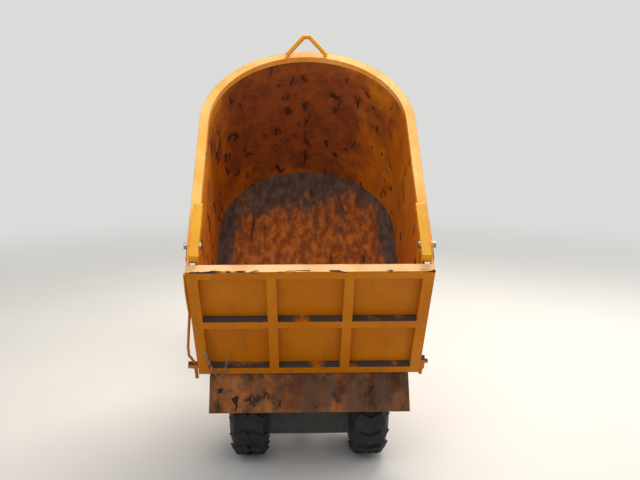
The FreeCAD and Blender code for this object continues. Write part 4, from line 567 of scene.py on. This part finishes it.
NODE_FINISH: dict[str, str] = {
    "skip_shell": "enamel on skip sheet", "skip_rim": "enamel on edge bar with painted highlight",
    "skip_lip": "worn enamel on lip", "skip_bearers": "enamel on underside with painted shade",
    "skip_crossbars": "enamel on underside with painted shade",
    "skip_handle": "lemon enamel on hinge bars", "hinge_bars": "lemon enamel on hinge bars",
    "hinge_bolts": "zinc plated steel", "gate_panel": "enamel on gate with painted shade", "gate_frame": "enamel on gate with painted shade",
    "gate_ears": "enamel on edge bar with painted highlight", "gate_lock": "enamel on gate with painted shade",
    "front_chassis": "charcoal chassis enamel", "pivot_pins": "greasy steel",
    "front_axle": "grey cast iron", "rear_axle": "grey cast iron", "skip_stops": "black rubber",
    "steer_block": "grey cast iron", "steer_barrel_tube": "charcoal chassis enamel",
    "steer_piston_rod": "hard chrome", "ram_barrel_tube": "charcoal chassis enamel",
    "ram_piston_rod": "hard chrome", "rear_chassis": "charcoal chassis enamel",
    "steps": "charcoal chassis enamel", "deck": "enamel on body panels", "console": "enamel on body panels",
    "steering_wheel_ring": "moulded black plastic", "controls": "moulded black plastic",
    "engine": "oily alloy casting", "engine_cover": "enamel on body panels",
    "bonnet_shell": "enamel on body panels", "bonnet_hinges": "greasy steel",
    "seat_pan": "charcoal chassis enamel", "tail_weight": "grey cast iron",
    "tow_hitch": "charcoal chassis enamel", "tanks": "charcoal chassis enamel",
    "exhaust": "heat-stained steel",
}
WHEELS: dict[str, Place] = {
    "front_left": (-0.28, -0.70, 0.268), "front_right": (0.28, -0.70, 0.268),
    "rear_left": (-0.28, 0.70, 0.268), "rear_right": (0.28, 0.70, 0.268),
}


def dress(node: str, material: bpy.types.Material) -> None:
    """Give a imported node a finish."""
    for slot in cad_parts[node].material_slots:
        slot.material = material


def dress_frame(finishes: Finishes) -> None:
    """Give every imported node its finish."""
    for node, finish in NODE_FINISH.items():
        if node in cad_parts:
            dress(node, finishes[finish])
    for wheel, hub in WHEELS.items():
        dress("rim_" + wheel, finishes["enamel on wheel"])
        dress("tyre_" + wheel, finishes.tyre(wheel, hub))


@dataclass
class Studio:
    """Pale floor, soft lamps and the camera at the photograph's angle."""

    eye: Place = (-0.057, -4.562, 1.766)
    pitch: float = 10.603
    yaw: float = 1.660
    roll: float = 0.031
    lens: float = 47.10
    sensor: float = 36.0
    lamp_aim: Place = (0.0, -0.3, 0.7)
    floor_reach: float = 16.0
    floor_drop: float = 0.0005
    fade_start: float = 2.4
    fade_end: float = 7.0
    backdrop: str = "#E6E6E4"
    backdrop_level: float = 0.9
    world_level: float = 0.50

    def floor(self) -> None:
        """Round pale floor that fades into the world: a fan of rings, radius = reach times share."""
        turn, share = np.meshgrid(np.linspace(0.0, 2.0 * np.pi, 96, endpoint=False),
                                  np.linspace(0.0, 1.0, 24))
        radius = self.floor_reach * np.maximum(share, POLE)
        mesh = grid_mesh("studio_floor", radius * np.cos(turn), radius * np.sin(turn),
                         0.0 * turn - self.floor_drop, wrap_u=True)
        thing = bpy.data.objects.new("studio_floor", mesh)
        bpy.context.scene.collection.objects.link(thing)
        material = bpy.data.materials.new("matt pale paint")
        material.use_nodes = True
        tree = material.node_tree
        tree.nodes.clear()
        point = add(tree, "TexCoord").outputs["Object"]
        tint = noise(tree, point, 900.0, detail=3.0)
        colour = blend(tree, tint, hex_linear("#D6D5D2"), hex_linear("#DEDDDA"))
        near = add(tree, "BsdfPrincipled", {"Base Color": colour, "Roughness": 0.9})
        away = add(tree, "VectorMath", {0: point}, operation="LENGTH").outputs["Value"]
        far = add(tree, "Emission", {"Color": hex_linear(self.backdrop), "Strength": self.backdrop_level})
        fade = ramp(tree, away, self.fade_start, self.fade_end)
        both = add(tree, "MixShader", {0: fade, 1: near.outputs[0], 2: far.outputs[0]})
        add(tree, "OutputMaterial", {"Surface": both.outputs[0]})
        mesh.materials.append(material)

    def lamps(self) -> None:
        """Soft overhead key from behind, as the sun stands there, a wide front fill and a pale world."""
        lamps = (
            # name, place, size, power, colour
            ("overhead key", (0.9, 1.2, 4.6), 3.0, 235.0, "#FFF6E8"),
            ("front fill", (-1.8, -5.2, 3.0), 4.0, 32.0, "#F8F9FF"),
            ("skip fill", (-0.3, -2.4, 2.75), 1.2, 17.0, "#FFFFFF"),
            ("side fill", (4.6, 0.6, 2.6), 3.0, 58.0, "#FFFFFF"),
        )
        for name, place, size, power, colour in lamps:
            lamp = bpy.data.lights.new(name, "AREA")
            lamp.size, lamp.energy = size, power
            lamp.color = hex_linear(colour)[:3]
            thing = bpy.data.objects.new(name, lamp)
            thing.location = place
            aim = Vector(self.lamp_aim) - Vector(place)
            thing.rotation_euler = aim.to_track_quat("-Z", "Y").to_euler()
            thing.visible_camera = False
            bpy.context.scene.collection.objects.link(thing)
        world = bpy.data.worlds.new("pale room")
        bpy.context.scene.world = world
        world.use_nodes = True
        tree = world.node_tree
        tree.nodes.clear()
        ray = add(tree, "LightPath")
        seen = calc(tree, "MAXIMUM", ray.outputs["Is Camera Ray"], ray.outputs["Is Glossy Ray"])
        light = add(tree, "Background", {"Color": hex_linear("#F1F2F4"), "Strength": self.world_level})
        shown = add(tree, "Background", {"Color": hex_linear(self.backdrop), "Strength": self.backdrop_level})
        both = add(tree, "MixShader", {0: seen, 1: light.outputs[0], 2: shown.outputs[0]})
        add(tree, "OutputWorld", {"Surface": both.outputs[0]})

    def camera(self) -> None:
        """Camera fitted to the photograph: it looks along +Y, a little down and to the right."""
        lens = bpy.data.cameras.new("photo camera")
        lens.lens, lens.sensor_width = self.lens, self.sensor
        thing = bpy.data.objects.new("photo camera", lens)
        turn = Euler((math.radians(90.0 - self.pitch), 0.0, math.radians(-self.yaw)), "XYZ").to_matrix()
        roll = Euler((0.0, 0.0, math.radians(self.roll)), "XYZ").to_matrix()
        thing.rotation_euler = (turn @ roll).to_euler()
        thing.location = self.eye
        bpy.context.scene.collection.objects.link(thing)
        bpy.context.scene.camera = thing

    def build(self) -> None:
        """Set up the floor, lamps, camera and view."""
        self.floor()
        self.lamps()
        self.camera()
        bpy.context.scene.view_settings.view_transform = "Standard"


def ring_quads(index: np.ndarray) -> np.ndarray:
    """Quads between neighbours in a grid of point numbers, facing away from a ring's middle."""
    corners = [index[:-1, :-1], index[:-1, 1:], index[1:, 1:], index[1:, :-1]]
    return np.stack(corners, axis=-1).reshape(-1, 4)


def grid_mesh(name: str, x: np.ndarray, y: np.ndarray, z: np.ndarray,
              wrap_u: bool = False) -> bpy.types.Mesh:
    """Mesh of quads from a grid of points, one row of the arrays per step of v.

    Args:
        name: Name of the mesh.
        x: First coordinates, shape (rows, columns).
        y: Second coordinates.
        z: Third coordinates.
        wrap_u: Join the last column to the first.

    Returns:
        The mesh.
    """
    rows, columns = x.shape
    points = np.stack([x, y, z], axis=-1).reshape(-1, 3)
    index = np.arange(rows * columns).reshape(rows, columns)
    if wrap_u:
        index = np.concatenate([index, index[:, :1]], axis=1)
    mesh = bpy.data.meshes.new(name)
    mesh.from_pydata(points.tolist(), [], ring_quads(index).tolist())
    mesh.update()
    return mesh


def make_object(mesh: bpy.types.Mesh, material: bpy.types.Material, body: str,
                smooth: bool = True) -> bpy.types.Object:
    """Link a finished mesh as an object that rides on a body.

    Args:
        mesh: Mesh in the machine's own place.
        material: Finish.
        body: Body that carries it.
        smooth: Shade smooth.

    Returns:
        The object.
    """
    thing = bpy.data.objects.new(mesh.name, mesh)
    bpy.context.scene.collection.objects.link(thing)
    mesh.materials.clear()
    mesh.materials.append(material)
    if smooth:
        mesh.shade_smooth()
    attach(thing, body)
    LOG.info("piece %s: %d faces", mesh.name, len(mesh.polygons))
    return thing


def join_meshes(name: str, points: Sequence[np.ndarray], faces: Sequence[np.ndarray]) -> bpy.types.Mesh:
    """One mesh from several arrays of points and quads.

    Args:
        name: Name of the mesh.
        points: Arrays of shape (n, 3).
        faces: Arrays of shape (m, 4), numbered from 0 in each.

    Returns:
        The mesh.
    """
    starts = np.cumsum([0] + [len(block) for block in points[:-1]])
    mesh = bpy.data.meshes.new(name)
    every = np.concatenate([block + start for block, start in zip(faces, starts)])
    mesh.from_pydata(np.concatenate(points).tolist(), [], every.tolist())
    shape = bmesh.new()
    shape.from_mesh(mesh)
    bmesh.ops.remove_doubles(shape, verts=shape.verts, dist=POLE_WELD)
    shape.to_mesh(mesh)
    shape.free()
    mesh.update()
    return mesh


def closed_tube(path: np.ndarray, radius: float, sides: int) -> tuple[np.ndarray, np.ndarray]:
    """Tube along a closed path: each ring is the path's point plus radius times (cos, sin) in its plane.

    Args:
        path: Points of shape (n, 3); the last is joined to the first.
        radius: Radius of the tube.
        sides: Points round a ring.

    Returns:
        Points and quads that face outwards.
    """
    tangent = np.roll(path, -1, axis=0) - np.roll(path, 1, axis=0)
    tangent /= np.linalg.norm(tangent, axis=1, keepdims=True)
    guide = np.array([0.31, 0.22, 0.93])  # any direction that no link runs along
    first = np.cross(tangent, guide)
    first /= np.linalg.norm(first, axis=1, keepdims=True)
    second = np.cross(tangent, first)
    angle = np.linspace(0.0, 2.0 * np.pi, sides, endpoint=False)[None, :, None]
    ring = first[:, None] * np.cos(angle) + second[:, None] * np.sin(angle)
    points = (path[:, None] + ring * radius).reshape(-1, 3)
    index = np.arange(len(path) * sides).reshape(len(path), sides)
    index = np.concatenate([index, index[:, :1]], axis=1)
    index = np.concatenate([index, index[:1]])
    return points, ring_quads(index)


def spun_profile(profile: Sequence[tuple[float, float]], sides: int, centre: Sequence[float],
                 sign: float) -> tuple[np.ndarray, np.ndarray]:
    """Profile of (height, radius) pairs turned round X; few sides make a nut.

    Each point is the centre plus (sign times height, radius times cos(a), sign times radius times sin(a)).

    Args:
        profile: Heights along X and radii, starting and ending at the radius of a pole.
        sides: Points round a ring, 6 for a hexagon.
        centre: Where height 0 lies.
        sign: 1 where the heights run along +X, -1 where they run along -X.

    Returns:
        Points and quads that face outwards.
    """
    shape = np.array(profile)
    angle = np.linspace(0.0, 2.0 * np.pi, sides, endpoint=False)
    height = np.repeat(shape[:, :1] * sign, sides, axis=1)
    u = shape[:, 1:] * np.cos(angle)[None]
    v = shape[:, 1:] * np.sin(angle)[None] * sign
    points = np.stack((height, u, v), axis=-1).reshape(-1, 3) + np.array(centre)
    index = np.arange(len(shape) * sides).reshape(len(shape), sides)
    index = np.concatenate([index, index[:, :1]], axis=1)
    return points, ring_quads(index)


def tipped(points: np.ndarray, tilt: float) -> np.ndarray:
    """Carry points from the skip's or the gate's frame, zero at the gate's foot, into the machine's."""
    c, s = math.cos(tilt), math.sin(tilt)
    turn = np.array([[1.0, 0.0, 0.0], [0.0, c, -s], [0.0, s, c]])
    return points @ turn.T + np.array(SkipPlace().foot)


# Nut and stud end: height in nut heights and radius in half widths, with 0 for a pole
NUT_PROFILE = ((0.0, 0.0), (0.0, 1.0), (0.8, 1.0), (1.0, 0.82), (1.0, 0.5), (1.5, 0.48), (1.6, 0.0))


@dataclass
class WheelFittings:
    """Nuts on the studs and a hub cap on each wheel's outer side."""

    nut_circle: float = 0.078
    nuts: int = 5
    nut_turn: float = 0.3
    nut_half: float = 0.0125
    nut_tall: float = 0.014
    disc_out: float = 0.024
    cap_radius: float = 0.040
    cap_foot: float = 0.014
    cap_dome: float = 0.010
    cap_turn: float = 1.45
    cap_top: float = 0.0245

    def build(self, wheel: str, hub: Place, finishes: Finishes) -> None:
        """Make one wheel's fittings: hexagons on a circle and a domed cap.

        The dome's height is its foot plus the dome's share of sin(a), its radius the cap's times cos(a)^0.5.
        """
        side = 1.0 if hub[0] > 0 else -1.0
        face = hub[0] + side * self.disc_out
        blocks = []
        hexagon = [(self.nut_tall * tall, max(self.nut_half * wide, POLE)) for tall, wide in NUT_PROFILE]
        for turn in np.arange(self.nuts) * 2.0 * math.pi / self.nuts + self.nut_turn:
            across, up = self.nut_circle * math.cos(turn), self.nut_circle * math.sin(turn)
            blocks.append(spun_profile(hexagon, 6, (face, hub[1] + across, hub[2] + up), side))
        mesh = join_meshes("wheel_nuts_" + wheel, *zip(*blocks))
        make_object(mesh, finishes["greasy steel"], "wheel_" + wheel, smooth=False)
        dome = [(self.cap_foot, POLE), (self.cap_foot, self.cap_radius)]
        dome += [(self.cap_foot + self.cap_dome * math.sin(a), self.cap_radius * math.cos(a) ** 0.5)
                 for a in np.linspace(0.0, self.cap_turn, 9)[1:]] + [(self.cap_top, POLE)]
        points, faces = spun_profile(dome, 40, (face, hub[1], hub[2]), side)
        mesh = join_meshes("hub_cap_" + wheel, [points], [faces])
        make_object(mesh, finishes["enamel on wheel"], "wheel_" + wheel)


def signed_power(value: np.ndarray, exponent: float) -> np.ndarray:
    """Power of a value's size that keeps its sign."""
    return np.sign(value) * np.abs(value) ** exponent


@dataclass
class Seat:
    """Vinyl cushion and back, blown up as cloth over foam and resting on the pan."""

    cushion_low: Place = (-0.220, 0.850, 0.894)
    cushion_high: Place = (0.220, 1.188, 0.959)
    back_low: Place = (-0.220, 1.190, 0.902)
    back_high: Place = (0.220, 1.250, 1.292)
    voxel: float = 0.006
    frames: int = 20
    cap: float = 0.012
    margin: float = 0.009
    pressure: float = 4.0
    tension: float = 40.0
    bending: float = 2.0
    flat_share: float = 0.96
    pull_across: float = 0.018
    pull_along: float = 0.022
    seams: tuple[float, ...] = (0.27, 0.50, 0.73)
    seam_depth: float = 0.0065
    seam_width: float = 0.008
    seam_half: float = 0.170
    space_gap: float = 0.0005

    def pad(self, name: str, low: Sequence[float], high: Sequence[float], flat_axis: int,
            flat_low: bool) -> bpy.types.Mesh:
        """Rounded pad flattened on the side it rests on.

        A superellipsoid: x = cos(v)^0.42 cos(u)^0.22, y = cos(v)^0.42 sin(u)^0.22, z = sin(v)^0.55, each
        power keeping its sign.

        Args:
            name: Name of the mesh.
            low: Lowest corner of its space.
            high: Highest corner.
            flat_axis: Thin axis, 1 or 2.
            flat_low: True where the low side rests on something.

        Returns:
            The mesh.
        """
        low, high = np.array(low) + self.margin, np.array(high) - self.margin
        centre, half = (low + high) / 2.0, (high - low) / 2.0
        u = np.linspace(-np.pi, np.pi, 96, endpoint=False)
        v = np.linspace(-np.pi / 2, np.pi / 2, 40)
        u, v = np.meshgrid(u, v)
        a = signed_power(np.cos(v), 0.42) * signed_power(np.cos(u), 0.22)
        b = signed_power(np.cos(v), 0.42) * signed_power(np.sin(u), 0.22)
        c = signed_power(np.sin(v), 0.55)
        if flat_low:
            c = np.where(c < 0, np.maximum(c, -self.flat_share), c)
        other = 3 - flat_axis
        axes = [None, None, None]
        axes[0], axes[other], axes[flat_axis] = a, b, c
        # Sides pull in between the corners by a cosine of the place along them
        axes[0] = axes[0] * (1.0 - self.pull_across * np.cos(axes[other] * np.pi / 2))
        axes[other] = axes[other] * (1.0 - self.pull_along * np.cos(axes[0] * np.pi / 2))
        grid = [centre[i] + half[i] * axes[i] for i in range(3)]
        return grid_mesh(name, *grid, wrap_u=True)

    def blow_up(self, thing: bpy.types.Object) -> None:
        """Remesh the pad and swell it as cloth under pressure, each point moving no further than the cap."""
        scene = bpy.context.scene
        bpy.context.view_layer.objects.active = thing
        remesh = thing.modifiers.new("even quads", "REMESH")
        remesh.mode, remesh.voxel_size = "VOXEL", self.voxel
        self.bake(thing)
        start = self.points(thing)
        cloth = thing.modifiers.new("vinyl cover", "CLOTH")
        cloth.settings.use_pressure = True
        cloth.settings.uniform_pressure_force = self.pressure
        cloth.settings.effector_weights.gravity = 0.0
        cloth.settings.tension_stiffness = self.tension
        cloth.settings.bending_stiffness = self.bending
        cloth.point_cache.frame_start, cloth.point_cache.frame_end = 1, self.frames
        for number in range(1, self.frames + 1):
            scene.frame_set(number)
        self.bake(thing)
        scene.frame_set(1)
        move = self.points(thing) - start
        length = np.linalg.norm(move, axis=1, keepdims=True)
        move *= np.minimum(1.0, self.cap / np.maximum(length, 1e-9))
        thing.data.vertices.foreach_set("co", (start + move).ravel())
        thing.data.update()

    def bake(self, thing: bpy.types.Object) -> None:
        """Put the modified shape into the mesh and drop the modifiers."""
        graph = bpy.context.evaluated_depsgraph_get()
        mesh = bpy.data.meshes.new_from_object(thing.evaluated_get(graph))
        thing.modifiers.clear()
        thing.data = mesh

    def points(self, thing: bpy.types.Object) -> np.ndarray:
        """Vertices of a mesh object as an array."""
        flat = np.empty(len(thing.data.vertices) * 3)
        thing.data.vertices.foreach_get("co", flat)
        return flat.reshape(-1, 3)

    def channels(self, thing: bpy.types.Object, low: Sequence[float], high: Sequence[float], along: int,
                 thin: int) -> None:
        """Sewn channels across the pad, and the whole pad held inside its space.

        Depth is a narrow bell curve of the distance to each seam.
        """
        points = self.points(thing)
        low, high = np.array(low), np.array(high)
        share = (points[:, along] - low[along]) / (high[along] - low[along])
        middle = (low[thin] + high[thin]) / 2.0
        front = points[:, thin] > middle if thin == 2 else points[:, thin] < middle
        inner = np.abs(points[:, 0]) < self.seam_half
        depth = np.zeros(len(points))
        for seam in self.seams:
            away = (share - seam) * (high[along] - low[along])
            depth += self.seam_depth * np.exp(-(away / self.seam_width) ** 2)
        points[:, thin] -= np.where(front & inner, depth, 0.0) * (1.0 if thin == 2 else -1.0)
        points = np.clip(points, low + self.space_gap, high - self.space_gap)
        thing.data.vertices.foreach_set("co", points.ravel())
        thing.data.update()

    def build(self, finishes: Finishes) -> None:
        """Make the cushion and the back."""
        for name, low, high, thin, node in (
            ("seat_cushion_cover", self.cushion_low, self.cushion_high, 2, "seat_cushion"),
            ("seat_back_cover", self.back_low, self.back_high, 1, "seat_back"),
        ):
            mesh = self.pad(name, low, high, thin, thin == 2)
            thing = make_object(mesh, finishes["black vinyl"], "bonnet")
            self.blow_up(thing)
            self.channels(thing, low, high, 3 - thin, thin)
            thing.data.materials.clear()
            thing.data.materials.append(finishes["black vinyl"])
            thing.data.shade_smooth()
            fine = thing.modifiers.new("fine", "SUBSURF")
            fine.levels = fine.render_levels = 1
            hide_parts(node)


@dataclass
class KeeperChain:
    """Short welded chain that hangs in a bow across the gate's lower left panel."""

    start: Place = (-0.455, -0.009, 0.168)
    end: Place = (-0.362, -0.009, 0.124)
    sag: float = 0.155
    pitch: float = 0.0205
    wire: float = 0.0019
    width: float = 0.0050

    def build(self, finishes: Finishes) -> None:
        """Links along a parabola: every link is a stadium ring, each turned a quarter from the last."""
        t = np.linspace(0.0, 1.0, 400)[:, None]
        line = np.array(self.start) * (1 - t) + np.array(self.end) * t
        line[:, 2] -= 4.0 * self.sag * (t * (1 - t))[:, 0]
        run = np.concatenate([[0.0], np.cumsum(np.linalg.norm(np.diff(line, axis=0), axis=1))])
        count = int(run[-1] / self.pitch)
        spots = (np.arange(count) + 0.5) * run[-1] / count
        middle = np.stack([np.interp(spots, run, line[:, i]) for i in range(3)], axis=1)
        ahead = np.stack([np.interp(spots + 0.002, run, line[:, i]) for i in range(3)], axis=1)
        ahead -= middle
        ahead /= np.linalg.norm(ahead, axis=1, keepdims=True)
        angle = np.linspace(0.0, 2.0 * np.pi, 16, endpoint=False)
        blocks = []
        for index, (spot, forward) in enumerate(zip(middle, ahead)):
            across = np.cross(forward, (0.0, 1.0, 0.0))
            across /= np.linalg.norm(across)
            other = np.cross(forward, across)
            side = (across + other) / math.sqrt(2) if index % 2 else (across - other) / math.sqrt(2)
            long = self.pitch * 0.36 * np.sign(np.cos(angle)) + self.width * 0.7 * np.cos(angle)
            ring = spot + forward * long[:, None] + side * (self.width * np.sin(angle))[:, None]
            blocks.append(closed_tube(tipped(ring, SkipPlace().gate_tilt), self.wire, 6))
        mesh = join_meshes("keeper_chain", *zip(*blocks))
        make_object(mesh, finishes["zinc plated steel"], "gate")


def main() -> None:
    """Build the studio, the finishes and each sub-assembly, and report each piece."""
    logging.basicConfig(level=logging.INFO, format="%(name)s %(message)s")
    Studio().build()
    finishes = Finishes()
    dress_frame(finishes)
    for wheel, hub in WHEELS.items():
        WheelFittings().build(wheel, hub, finishes)
    Seat().build(finishes)
    KeeperChain().build(finishes)
    LOG.info("finishes: %d", len(finishes.made))


if __name__ == "__main__":
    main()
